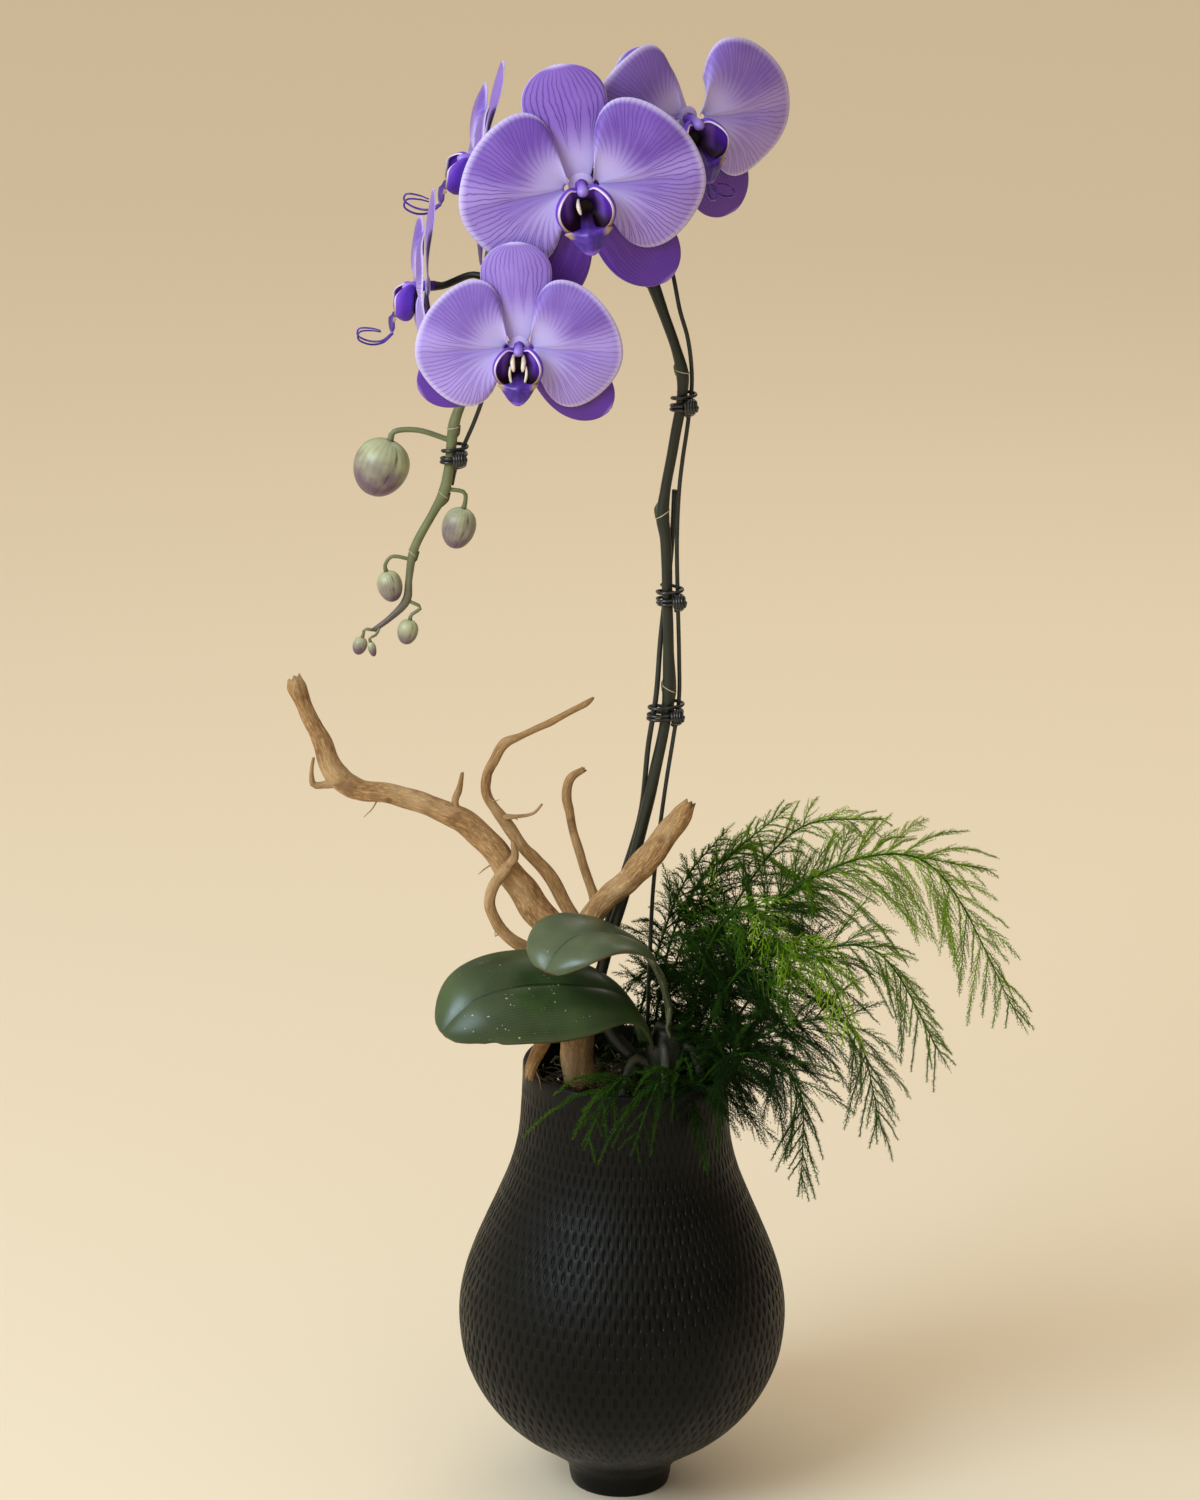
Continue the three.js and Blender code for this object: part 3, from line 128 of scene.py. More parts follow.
LIP_TEETH = [
    [[2.3, -3.6, 8, 0.7], [2.7, -6.4, 10.6, 1.25], [2.4, -9.4, 12, 1.1], [2.1, -11, 12.2, 0.5]],
    [[3.8, -8.6, 10.8, 0.5], [4.1, -12, 12.4, 0.75], [3.4, -15.6, 13.2, 0.7], [2.9, -17, 13, 0.35]],
]
LIP_TENDRIL = [
    [0.6, -25, 16.8, 0.75], [2.6, -29.4, 22, 0.6], [4.8, -30, 29, 0.55], [5.6, -27, 35, 0.5],
    [4.8, -23.6, 34.4, 0.5], [3.4, -23, 28, 0.45], [2.2, -24, 23, 0.35],
]
# The front lobe: shares of its length, and its half width at each.
LIP_TONGUE = ([0, 0.3, 0.42, 0.5, 0.58, 0.7, 0.84, 0.95, 1], [2.4, 3, 7, 10.6, 8.2, 6.2, 4.4, 2.6, 1])

BUDS = [
    dict(centre=[-107, 0, 466], root=35.4, bow=[-92, 0, 482.5], radius=11.4, half=12.5, tip=[-0.35, 0, -1]),
    dict(centre=[-74, 0, 440], root=36.9, bow=[-71.5, 0, 455.5], radius=7, half=9, tip=[-0.25, 0, -1]),
    dict(centre=[-103, 0, 414], root=39.3, bow=[-102.5, 0, 427], radius=5.2, half=6.8, tip=[0.25, 0, -1]),
    dict(centre=[-95.5, -2, 394.5], root=41, bow=[-90, -1, 405], radius=4.3, half=5.5, tip=[-0.2, 0, -1]),
    dict(centre=[-116, 0, 387.5], root=43, bow=[-114, 0, 394.8], radius=3, half=4, tip=[-0.3, 0, -1]),
    dict(centre=[-110.5, -3, 387], root=42.6, bow=[-109, -2, 393], radius=1.7, half=3.4, tip=[0.25, 0, -1]),
]

# The last value of each leaf is how much painted sheen, a grey-green for reflected sky, its colour carries.
LEAVES = {
    "leaf_lower": dict(
        midrib=[
            [10.5, -19, 214.5], [5.8, -21.6, 228], [-3, -26.5, 239.5], [-23, -36, 247], [-47.6, -46, 249.5],
            [-64, -52, 246], [-72, -54.5, 240], [-78.5, -56, 232],
        ],
        half_width=27, roll=36, crease=14, curl=62, fullest=0.6, painted_sheen_share=0.25),
    "leaf_upper": dict(
        midrib=[
            [18, -26.4, 222], [17, -26.5, 237], [12, -27.6, 252], [4, -31, 263], [-5, -38, 270.5],
            [-16, -47.5, 275], [-24, -55, 274.5], [-30.5, -61, 270], [-34.5, -65, 263.5],
        ],
        half_width=23, roll=8, crease=24, curl=48, fullest=0.68, painted_sheen_share=0.85),
}
LEAF_THICKNESS = 1.7

STRAIGHT_STAKE_RADIUS = 1.15
ARCH_STAKE_RADIUS = 0.9
STRAIGHT_STAKE = [
    [-9, 262], [-2, 286], [5, 312], [8, 345], [11, 367], [12.5, 390], [14.3, 409], [16, 424], [17, 440],
    [17.5, 457],
]
ARCH_STAKE = [
    [10, 250], [11, 280], [13, 303], [16, 329], [18.5, 347], [20.8, 365], [20.6, 383], [19.6, 409],
    [18.8, 436], [19.4, 458], [20.6, 471], [22.6, 487], [24, 505], [22, 523], [18.5, 535],
]
ARCH_STAKE_END = [
    [14.5, 6, 552], [8, 8.6, 567], [-1, 8, 583], [-11, 5, 594], [-22, 5, 600], [-35, 5, 602],
    [-45, 4.6, 595], [-50, 3.4, 581], [-54, 1.4, 563], [-57, 0.6, 545], [-59.5, 0, 517],
    [-63.5, 0.4, 498], [-67.5, 1.6, 486], [-72, 2.6, 475], [-75.5, 3.2, 465], [-77, 3.4, 458],
]
STAKE_LEAN_GAP = 1.0
TIE_WIRE_RADIUS = 0.75
TIE_BALL_RADIUS = 3.6
TIE_TURNS = 3.5
TIE_START = -50
TIES = [
    dict(height=359, stakes=("stake_arch", "stake_straight"), on_tail=False),
    dict(height=410, stakes=("stake_arch", "stake_straight"), on_tail=False),
    dict(height=495, stakes=("stake_arch",), on_tail=False),
    dict(height=471, stakes=("stake_arch",), on_tail=True),
]

DRIFTWOOD = [
    [
        [-19, 5, 150, 5], [-20, 5, 185, 7], [-22, 4, 215, 7.6], [-24, 2, 244, 7.4], [-30, 0, 257, 7.2],
        [-38, 0, 267, 6.6], [-49, 0, 283, 5.8], [-60, 0, 299, 5.4], [-73, 0, 310, 5.6], [-86, 0, 316, 4.4],
        [-101, 0, 321, 4.4], [-116, 0, 323, 4.2], [-126, 0, 329, 5.2], [-132, 0, 343, 4.4],
        [-135, 0, 350, 3.6], [-140, 0, 361, 3.4], [-143, 0, 369, 4.3], [-144, 0, 372.5, 3],
    ],
    [
        [-24, 1, 266, 3], [-36, 2, 287, 3], [-45, 2, 296, 2.6], [-51, 2, 305, 2.8], [-58, 1, 315, 2.2],
        [-61.5, 1, 322, 2.1], [-61.5, 0, 330, 2], [-58, 0, 337, 2], [-54, 0, 344.5, 2.2],
        [-47, 0, 348, 1.5], [-37, 0, 353, 1.5], [-26, 0, 359, 1.4], [-19, 0, 363, 1.5], [-16, 0, 365.5, 0.7],
    ],
    [
        [-33, -5, 251, 2.8], [-42, -9, 254, 2.9], [-50, -10, 259, 2.7], [-56, -10, 265.5, 2.6],
        [-59.5, -9, 274, 2.5], [-58, -9, 283, 2.4], [-53, -8, 290, 2.4], [-49, -8, 296, 1.9],
        [-50, -8, 303, 0.8],
    ],
    [
        [-16, -7, 262, 2.8], [-14, -6, 274, 2.3], [-17, -5, 284, 2.1], [-20, -5, 294, 2],
        [-23.5, -5, 305, 1.8], [-25.5, -5, 315, 1.9], [-27, -5, 323, 2.1], [-25, -5, 331, 1.8],
        [-19.5, -5, 335, 1.2],
    ],
    [
        [-24, -3, 250, 5.4], [-17, -10, 268, 4.6], [-9, -12.5, 279, 4.8], [2, -13, 290, 5.2],
        [11, -12.5, 301, 5.6], [19, -12, 312, 5.2], [23, -12, 318, 4.4], [26, -12, 322.5, 2.4],
    ],
    [[-73, 0, 309, 2.4], [-75, 0, 318, 1.5], [-73.5, 0, 323, 1.6], [-72, 0, 331, 0.8]],
    [[-125, 0, 327, 3], [-132, 0, 325, 1.6], [-136, 0, 325, 1.5], [-137, 0, 330, 1], [-136, 0, 337, 0.6]],
    [[-56, 1, 311, 1.6], [-48, -1, 312, 0.8], [-41, -2, 314, 0.7], [-37.5, -2, 318, 0.5]],
    [
        [-22, 2, 236, 4], [-31, -14, 223, 3.4], [-38, -20, 211, 3.2], [-41, -23, 204.5, 2.6],
        [-42, -24, 200, 1.6],
    ],
]

SPUR_SPACING = 55
SPUR_LOWEST = 205

# Fronds: where each is rooted, two points and the tip of its arching stem, the way its flat side
# faces, how many plumes it carries on each side, how long they get and how far up they start.
FRONDS = [
    dict(foot=[31, 4], via=[[62, 0, 272], [124, -5, 297]], tip=[173, -10, 222], face=[0.2, -0.8, 0.6],
         plumes=24, reach=44, bare=0.3),
    dict(foot=[27, 14], via=[[58, 12, 262], [104, 16, 290]], tip=[157, 16, 285], face=[0, -0.9, 0.6],
         plumes=22, reach=36, bare=0.26),
    dict(foot=[35, -8], via=[[64, -14, 246], [104, -24, 262]], tip=[139, -24, 209], face=[0.3, -0.7, 0.6],
         plumes=24, reach=38, bare=0.22),
    dict(foot=[22, 22], via=[[44, 24, 258], [76, 26, 300]], tip=[110, 20, 306], face=[0.1, -0.9, 0.4],
         plumes=22, reach=38, bare=0.24),
    dict(foot=[13, 14], via=[[22, 18, 240], [40, 20, 282]], tip=[70, 18, 312], face=[0, -1, 0.2],
         plumes=22, reach=34, bare=0.26),
    dict(foot=[2, 18], via=[[12, 24, 236], [26, 26, 276]], tip=[44, 20, 301], face=[0.1, -1, 0.1],
         plumes=18, reach=28, bare=0.3),
    dict(foot=[34, -17], via=[[62, -38, 228], [94, -48, 236]], tip=[111, -50, 186], face=[0.3, -0.8, 0.4],
         plumes=22, reach=38, bare=0.16),
    dict(foot=[29, -24], via=[[50, -48, 222], [72, -62, 216]], tip=[76, -63, 166], face=[0.2, -0.9, 0.2],
         plumes=20, reach=32, bare=0.14),
    dict(foot=[26, -14], via=[[50, -34, 256], [78, -62, 272]], tip=[96, -84, 243], face=[0.2, -0.75, 0.65],
         plumes=22, reach=38, bare=0.2),
    dict(foot=[24, -6], via=[[38, -20, 266], [54, -46, 286]], tip=[72, -74, 266], face=[0.1, -0.7, 0.7],
         plumes=22, reach=34, bare=0.24),
    dict(foot=[19, -31], via=[[22, -46, 212], [14, -58, 212]], tip=[3, -63, 182], face=[0, -1, 0.1],
         plumes=7, reach=22, bare=0.2),
    dict(foot=[4, -33], via=[[0, -46, 210], [-8, -57, 206]], tip=[-17, -63, 184], face=[0, -1, 0.1],
         plumes=7, reach=22, bare=0.2),
    dict(foot=[12, 30], via=[[24, 46, 252], [52, 68, 276]], tip=[88, 80, 244], face=[0.2, 0.4, 0.8],
         plumes=24, reach=35, bare=0.2),
]
# The fronds whose outer plumes are coarse combs.
COMBS = (9, 10)
# The tips of the single strands that hang from two fronds in front of the vase's mouth.
STRANDS = {
    11: [[-11, -62, 177], [-5, -62, 185], [11, -60, 180], [28, -56, 214], [4, -60, 208], [20, -60, 196]],
    12: [[-43, -40, 180], [-15, -60, 191], [-30, -52, 204], [-22, -56, 186]],
}
INNER_PLUMES = 24
# The fern's colour carries painted shade: it is dark near its core and low down, and lightens over these
# distances and heights.
FERN_CORE = [34, -18, 232]
FERN_LIGHTENS = (32, 100)
FERN_RISES = (185, 270)
TWIG_PITCH = 1.2
TWIG_RADIUS = 0.17
NEEDLE_LENGTH = 1.8
NEEDLE_PITCH = 0.95
NEEDLE_RADIUS = 0.15

# ---------------------------------------------------------------- camera, floor and light

CAMERA_PLACE = Vector((-0.0128, -2.058, 0.980))
CAMERA_PITCH = math.radians(17.22)
CAMERA_ROLL = math.radians(0.69)
CAMERA_LENS = 120.24

SKY_COLOUR = (1, 0.875, 0.715, 1)
SKY_WAY = (-0.6, -0.35, 0.72)
SKY_DIM = -0.42
SKY_BRIGHT = 1.1
SKY_LEAST = 0.05
LIGHTS = [
    dict(name="key", place=(-1.3, -1.2, 1.5), aim=(0, 0, 0.35), size=1.1, watts=36,
         colour=(0.66, 0.84, 1)),
    dict(name="back", place=(0.7, 1.5, 1.6), aim=(0, 0, 0.45), size=1.0, watts=5,
         colour=(1, 0.93, 0.82)),
]
FLOOR_REACH = 14
FLOOR_COLOUR = (0.85, 0.745, 0.565, 1)


def add_camera():
    forward = Vector((0, math.cos(CAMERA_PITCH), -math.sin(CAMERA_PITCH)))
    right = Vector((1, 0, 0))
    up = Vector((0, math.sin(CAMERA_PITCH), math.cos(CAMERA_PITCH)))
    image_right = right * math.cos(CAMERA_ROLL) + up * math.sin(CAMERA_ROLL)
    image_up = up * math.cos(CAMERA_ROLL) - right * math.sin(CAMERA_ROLL)
    data = bpy.data.cameras.new("camera")
    data.lens = CAMERA_LENS
    data.clip_end = 60
    camera = bpy.data.objects.new("camera", data)
    turned = Matrix((image_right, image_up, -forward)).transposed().to_4x4()
    camera.matrix_world = Matrix.Translation(CAMERA_PLACE) @ turned
    bpy.context.scene.collection.objects.link(camera)
    bpy.context.scene.camera = camera


def add_light(name, place, aim, size, watts, colour):
    data = bpy.data.lights.new(name, "AREA")
    data.size = size
    data.energy = watts
    data.color = colour
    light = bpy.data.objects.new(name, data)
    light.location = place
    light.rotation_euler = (Vector(aim) - Vector(place)).to_track_quat("-Z", "Y").to_euler()
    bpy.context.scene.collection.objects.link(light)


def add_sky():
    """Soft light from all round, brighter toward the upper left front."""
    world = bpy.data.worlds.new("studio")
    world.use_nodes = True
    tree = world.node_tree
    way = tree.nodes.new("ShaderNodeTexCoord")
    toward = tree.nodes.new("ShaderNodeVectorMath")
    toward.operation = "DOT_PRODUCT"
    toward.inputs[1].default_value = SKY_WAY
    spread = tree.nodes.new("ShaderNodeMapRange")
    for socket, value in (("From Min", -1), ("From Max", 1), ("To Min", SKY_DIM), ("To Max", SKY_BRIGHT)):
        spread.inputs[socket].default_value = value
    tree.links.new(way.outputs["Generated"], toward.inputs[0])
    tree.links.new(toward.outputs["Value"], spread.inputs["Value"])
    floor = tree.nodes.new("ShaderNodeMath")
    floor.operation = "MAXIMUM"
    floor.inputs[1].default_value = SKY_LEAST
    tree.links.new(spread.outputs[0], floor.inputs[0])
    tree.links.new(floor.outputs[0], tree.nodes["Background"].inputs["Strength"])
    tree.nodes["Background"].inputs["Color"].default_value = SKY_COLOUR
    bpy.context.scene.world = world


def add_studio():
    add_sky()
    bpy.context.scene.view_settings.view_transform = "Standard"
    for light in LIGHTS:
        add_light(**light)
    mesh = bpy.data.meshes.new("floor")
    corners = [(x * FLOOR_REACH, y * FLOOR_REACH, 0) for x, y in ((-1, -1), (1, -1), (1, 1), (-1, 1))]
    mesh.from_pydata(corners, [], [(0, 1, 2, 3)])
    floor = bpy.data.objects.new("floor", mesh)
    bpy.context.scene.collection.objects.link(floor)
    look = Look("floor_look", roughness=0.8)
    look.set("Base Color", FLOOR_COLOUR)
    mesh.materials.append(look.material)


# ---------------------------------------------------------------- node materials

class Look:
    """A procedural material under construction."""

    def __init__(self, name, roughness=0.5, **sockets):
        self.material = bpy.data.materials.new(name)
        self.material.use_nodes = True
        self.tree = self.material.node_tree
        self.shader = self.tree.nodes["Principled BSDF"]
        self.shader.inputs["Roughness"].default_value = roughness
        for socket, value in sockets.items():
            self.shader.inputs[socket.replace("_", " ")].default_value = value

    def add(self, kind, inputs, **settings):
        node = self.tree.nodes.new("ShaderNode" + kind)
        for key, value in settings.items():
            setattr(node, key, value)
        for key, value in inputs.items():
            if isinstance(value, bpy.types.NodeSocket):
                self.tree.links.new(value, node.inputs[key])
            else:
                node.inputs[key].default_value = value
        return node

    def set(self, socket, value):
        if isinstance(value, bpy.types.NodeSocket):
            self.tree.links.new(value, self.shader.inputs[socket])
        else:
            self.shader.inputs[socket].default_value = value

    def math(self, operation, a, b=0.0, c=0.0):
        return self.add("Math", {0: a, 1: b, 2: c}, operation=operation).outputs[0]

    def times(self, a, b):
        return self.math("MULTIPLY", a, b)

    def plus(self, a, b):
        return self.math("ADD", a, b)

    def minus(self, a, b):
        return self.math("SUBTRACT", a, b)

    def ease(self, value, low, high, start=0.0, end=1.0):
        inputs = {"Value": value, "From Min": low, "From Max": high, "To Min": start, "To Max": end}
        return self.add("MapRange", inputs, interpolation_type="SMOOTHSTEP").outputs[0]

    def place(self, part):
        """One part, 0 to 2, of the values kept at each point of a mesh."""
        node = self.add("Attribute", {}, attribute_name="place", attribute_type="GEOMETRY")
        return self.add("SeparateXYZ", {0: node.outputs["Vector"]}).outputs[part]

    def tone(self):
        node = self.add("Attribute", {}, attribute_name="tone", attribute_type="GEOMETRY")
        return node.outputs["Fac"]

    def vector(self, x, y, z):
        return self.add("CombineXYZ", {0: x, 1: y, 2: z}).outputs[0]

    def noise(self, scale, detail=3.0, vector=None, roughness=0.5):
        if vector is None:
            vector = self.add("TexCoord", {}).outputs["Object"]
        inputs = {"Vector": vector, "Scale": scale, "Detail": detail, "Roughness": roughness}
        return self.add("TexNoise", inputs).outputs[0]

    def mix(self, share, a, b, blend="MIX"):
        return self.add("Mix", {0: share, 6: a, 7: b}, data_type="RGBA", blend_type=blend).outputs[2]

    def bump(self, height, strength, distance):
        inputs = {"Height": height, "Strength": strength, "Distance": distance}
        self.set("Normal", self.add("Bump", inputs).outputs[0])


def srgb(red, green, blue):
    """A colour as a screen shows it, from 0 to 255, as the light that a material reflects."""
    shares = [value / 255 for value in (red, green, blue)]
    return (*[s / 12.92 if s < 0.04 else ((s + 0.055) / 1.055) ** 2.4 for s in shares], 1)


def vein_distance(look, across, along, count):
    """How far a point is from the nearest vein, in vein gaps. Each vein forks in three on its way out."""
    wander = look.times(look.minus(look.noise(34, 1), 0.5), 0.9)
    fine = look.times(look.minus(look.noise(240, 1), 0.5), 0.22)
    bent = look.plus(look.times(across, count), look.plus(wander, fine))
    spread = look.ease(along, 0.2, 0.75, 0, 0.33)
    stem = look.math("PINGPONG", bent, 0.5)
    left = look.math("PINGPONG", look.plus(bent, spread), 0.5)
    right = look.math("PINGPONG", look.minus(bent, spread), 0.5)
    return look.math("MINIMUM", stem, look.math("MINIMUM", left, right))


def petal_look(name, body, low, deep, vein, pale, rim, count, fan, crease=None):
    """Veined petal: place holds how far out, how far across and how near the rim a point is."""
    look = Look(name, roughness=0.55)
    look.set("Sheen Weight", 0.15)
    look.set("Sheen Roughness", 0.4)
    along, across, rimward, tone = look.place(0), look.place(1), look.place(2), look.tone()
    cloud = look.noise(46, 3)
    if crease:
        bunched = look.math("DIVIDE", look.minus(across, crease), look.ease(along, 0, 0.9, 0.5, 1))
        veins_across = look.plus(bunched, crease)
        gap = look.times(along, fan)
        upper = look.ease(across, crease + 0.05, crease + 0.17)
        # Painted shade: a darker violet band just under the crease, where the fold's shade falls.
        under = look.times(look.ease(across, crease - 0.2, crease - 0.03),
                           look.ease(across, crease, crease + 0.02, 1, 0))
        top_depth = look.times(look.ease(along, 0.26, 0.6), look.ease(along, 0.93, 1.03, 1, 0.5))
        top_depth = look.times(top_depth, look.times(upper, look.ease(cloud, 0.3, 0.62, 0.5, 1)))
        painted_crease_shade = look.times(under, look.ease(along, 0.12, 0.95, 0.95, 0.35))
        depth = look.math("MAXIMUM", top_depth, painted_crease_shade)
        ground = look.mix(upper, low, body)
    else:
        veins_across, gap, ground = across, 5.0, body
        depth = look.times(look.ease(along, 0.2, 0.6), look.ease(cloud, 0.3, 0.62, 0.25, 0.6))
    distance = look.times(vein_distance(look, veins_across, along, count), gap)
    line = look.ease(distance, 0.04, 0.27, 1, 0)
    haze = look.ease(distance, 0.1, 0.9, 1, 0)
    broken = look.ease(look.noise(75, 2), 0.3, 0.55, 0.45, 1)
    keep = look.minus(1, look.times(tone, 0.7))
    depth = look.times(depth, keep)
    colour = look.mix(look.ease(along, 0.1, 0.56), pale, ground)
    colour = look.mix(look.times(tone, 0.4), colour, pale)
    # Deep violet for the petal's darker patches, and under the crease as painted shade.
    colour = look.mix(look.times(depth, 0.8), colour, deep)
    strength = look.times(look.ease(along, 0.22, 0.6, 0, 0.85), look.times(keep, broken))
    colour = look.mix(look.times(haze, look.times(strength, 0.35)), colour, deep)
    edge = look.ease(rimward, 0.92, 1.0, 0, 0.72)
    colour = look.mix(edge, colour, rim)
    fade = look.minus(1, look.times(edge, 0.8))
    colour = look.mix(look.times(line, look.times(strength, fade)), colour, vein)
    look.set("Base Color", colour)
    look.bump(look.minus(look.noise(1200, 2), line), 0.15, 0.0003)
    return look.material


def petal_looks():
    pale, rim = srgb(198, 184, 240), srgb(216, 204, 244)
    return [
        petal_look("petal_look", srgb(136, 102, 198), srgb(162, 136, 218), srgb(94, 50, 158),
                   srgb(76, 34, 136), pale, rim, 15, 10.4, crease=PETAL_CREASE),
        petal_look("upper_sepal_look", srgb(146, 112, 204), srgb(146, 112, 204), srgb(108, 64, 176),
                   srgb(66, 26, 124), pale, rim, 5, 0),
        petal_look("lower_sepal_look", srgb(108, 52, 176), srgb(108, 52, 176), srgb(70, 22, 136),
                   srgb(56, 14, 112), srgb(98, 44, 160), srgb(168, 134, 214), 7, 0),
    ]


def lip_looks():
    cup = Look("lip_cup_look", roughness=0.45)
    cup.set("Specular IOR Level", 0.2)
    outward, height, sideways = cup.place(0), cup.place(1), cup.place(2)
    inside = cup.mix(cup.ease(height, 0.2, 0.6), srgb(40, 8, 34), srgb(88, 40, 168))
    # Painted highlight: a streak of lighter violet up the inside of each side lobe, where light catches its
    # curve.
    fold = cup.times(cup.ease(sideways, 0.36, 0.46), cup.ease(sideways, 0.58, 0.74, 1, 0))
    fold = cup.times(fold, cup.ease(height, 0.2, 0.5))
    inside = cup.mix(cup.times(fold, 0.75), inside, srgb(132, 90, 200))
    inside = cup.mix(cup.ease(outward, 0.05, 0.3, 0.9, 0), inside, srgb(20, 4, 12))
    colour = cup.mix(cup.tone(), inside, srgb(104, 60, 182))
    edge = cup.mix(cup.ease(height, 0.3, 0.62), srgb(156, 132, 92), srgb(224, 206, 232))
    cup.set("Base Color", cup.mix(cup.ease(outward, 0.9, 0.97), colour, edge))
    cup.bump(cup.noise(500, 2), 0.15, 0.0004)
    cream = Look("lip_cream_look", roughness=0.3)
    cream.set("Base Color", cream.mix(cream.ease(cream.noise(260, 2), 0.3, 0.7), srgb(232, 218, 206),
                                      srgb(206, 184, 150)))
    violet = Look("lip_violet_look", roughness=0.34)
    along, outside = violet.place(0), violet.place(1)
    body = violet.mix(violet.ease(violet.noise(350, 3), 0.35, 0.65), srgb(50, 16, 118), srgb(78, 36, 158))
    body = violet.mix(violet.ease(along, 0.1, 0.45, 0.9, 0), body, srgb(24, 6, 18))
    body = violet.mix(violet.ease(along, 0.82, 0.95, 0, 0.6), body, srgb(150, 104, 222))
    violet.set("Base Color", violet.mix(violet.ease(outside, 0.5, 0.8), body, srgb(160, 130, 110)))
    column = Look("column_look", roughness=0.4)
    column.set("Base Color", column.mix(column.ease(column.place(0), 0.2, 0.9),
                                        srgb(100, 62, 176), srgb(150, 122, 212)))
    return [cup.material, cream.material, violet.material, column.material]


def leaf_look():
    look = Look("leaf_look", roughness=0.36)
    along, across, tone = look.place(0), look.place(1), look.tone()
    mottle = look.ease(look.noise(45, 4), 0.3, 0.75)
    deep = look.mix(mottle, srgb(22, 46, 12), srgb(44, 72, 22))
    # Painted sheen: the tone mixes in a grey-green that stands for the sky reflected on the glossy leaf,
    # much on the upper leaf and little on the lower.
    grey = look.mix(mottle, srgb(62, 76, 50), srgb(86, 98, 70))
    colour = look.mix(tone, deep, grey)
    lines = look.math("PINGPONG", look.times(across, 46), 0.5)
    colour = look.mix(look.ease(lines, 0.05, 0.3, 0.07, 0), colour, srgb(120, 138, 92))
    # Painted shade: a dark line along the midrib, in the crease of the fold.
    rib = look.ease(look.math("ABSOLUTE", look.minus(across, 0.5)), 0.004, 0.02, 0.75, 0)
    colour = look.mix(rib, colour, srgb(18, 34, 14))
    brown = look.times(look.ease(look.place(2), 0.965, 0.995), look.ease(along, 0.5, 0.9, 0.2, 0.9))
    colour = look.mix(brown, colour, srgb(92, 62, 34))
    specks = look.times(look.ease(look.noise(900, 0), 0.78, 0.82),
                        look.ease(look.noise(30, 1), 0.52, 0.6))
    colour = look.mix(look.times(specks, 0.7), colour, srgb(190, 196, 176))
    look.set("Base Color", colour)
    look.set("Roughness", look.ease(look.noise(80, 3), 0.3, 0.7, 0.3, 0.44))
    look.bump(look.plus(look.times(lines, 0.15), look.noise(700, 2)), 0.1, 0.0003)
    return look.material


def stem_look():
    look = Look("stem_look", roughness=0.42)
    along = look.place(0)
    mottle = look.noise(160, 3)
    low = look.mix(mottle, srgb(12, 17, 10), srgb(26, 33, 19))
    tail = look.mix(mottle, srgb(84, 92, 58), srgb(122, 124, 84))
    tip = look.mix(mottle, srgb(70, 58, 60), srgb(98, 84, 82))
    colour = look.mix(look.ease(along, 0.66, 0.78), low, tail)
    colour = look.mix(look.ease(along, 0.93, 1.0), colour, tip)
    look.set("Base Color", colour)
    look.bump(look.noise(600, 2), 0.15, 0.0004)
    return look.material


def plain_look(name, dark, light, scale, roughness, bump=0.2, coat=0.0):
    """A colour that wanders between two tones, with a matching slight relief."""
    look = Look(name, roughness=roughness)
    spread = look.noise(scale, 4)
    look.set("Base Color", look.mix(look.ease(spread, 0.3, 0.7), dark, light))
    look.set("Coat Weight", coat)
    look.bump(spread, bump, 0.0005)
    return look.material


def bud_look():
    look = Look("bud_look", roughness=0.38)
    along, seam = look.place(0), look.place(1)
    lines = look.ease(look.math("PINGPONG", look.times(look.place(2), 24), 0.5), 0.05, 0.4, 0.14, 0)
    mottle = look.plus(along, look.times(look.minus(look.noise(120, 3), 0.5), 0.7))
    colour = look.mix(look.ease(mottle, 0.15, 0.75), srgb(176, 180, 138), srgb(104, 80, 98))
    colour = look.mix(lines, colour, srgb(66, 44, 66))
    colour = look.mix(look.ease(seam, 0.0, 0.16, 0.85, 0), colour, srgb(60, 40, 58))
    look.set("Base Color", colour)
    look.bump(look.noise(500, 2), 0.12, 0.0004)
    return look.material


def wood_look():
    look = Look("driftwood_look", roughness=0.78)
    along = look.times(look.place(0), 0.045)
    streaks = look.noise(3.2, 5, look.vector(look.place(1), look.place(2), along), 0.65)
    fine = look.noise(11, 4, look.vector(look.place(1), look.place(2), look.times(along, 0.8)), 0.6)
    broad = look.noise(38, 3)
    colour = look.mix(look.ease(streaks, 0.32, 0.68), srgb(148, 106, 60), srgb(208, 166, 108))
    colour = look.mix(look.ease(fine, 0.4, 0.62, 0.65, 0), colour, srgb(112, 80, 48))
    colour = look.mix(look.ease(broad, 0.42, 0.72, 0, 0.55), colour, srgb(216, 184, 138))
    colour = look.mix(look.ease(look.noise(110, 2), 0.62, 0.74, 0, 0.6), colour, srgb(104, 66, 36))
    look.set("Base Color", colour)
    look.bump(look.plus(fine, look.times(streaks, 1.5)), 0.7, 0.0009)
    return look.material


def fern_look():
    look = Look("fern_look", roughness=0.62)
    look.set("Specular IOR Level", 0.12)
    tone = look.tone()
    # The tone carries the painted shade worked out in fern_light: low tones are the shaded core, high ones
    # the lit outside.
    colour = look.mix(look.ease(tone, 0.0, 0.4), srgb(8, 30, 2), srgb(44, 80, 3))
    colour = look.mix(look.ease(tone, 0.35, 0.75), colour, srgb(100, 138, 12))
    look.set("Base Color", look.mix(look.ease(tone, 0.7, 1.0), colour, srgb(150, 176, 48)))
    return look.material


def scoop_depth(look, columns, rows, shift):
    """The carved relief again, sharp enough for the bump and for the painted shade in the scoops: 1 in the
    middle of a scoop, 0 outside.
    """
    def offset(value, reach):
        inside = look.minus(look.math("FRACT", look.plus(value, shift)), 0.5)
        return look.math("POWER", look.math("DIVIDE", look.math("ABSOLUTE", inside), reach), 2)

    return look.minus(1, look.plus(offset(columns, SCOOP_WIDTH), offset(rows, SCOOP_HEIGHT)))


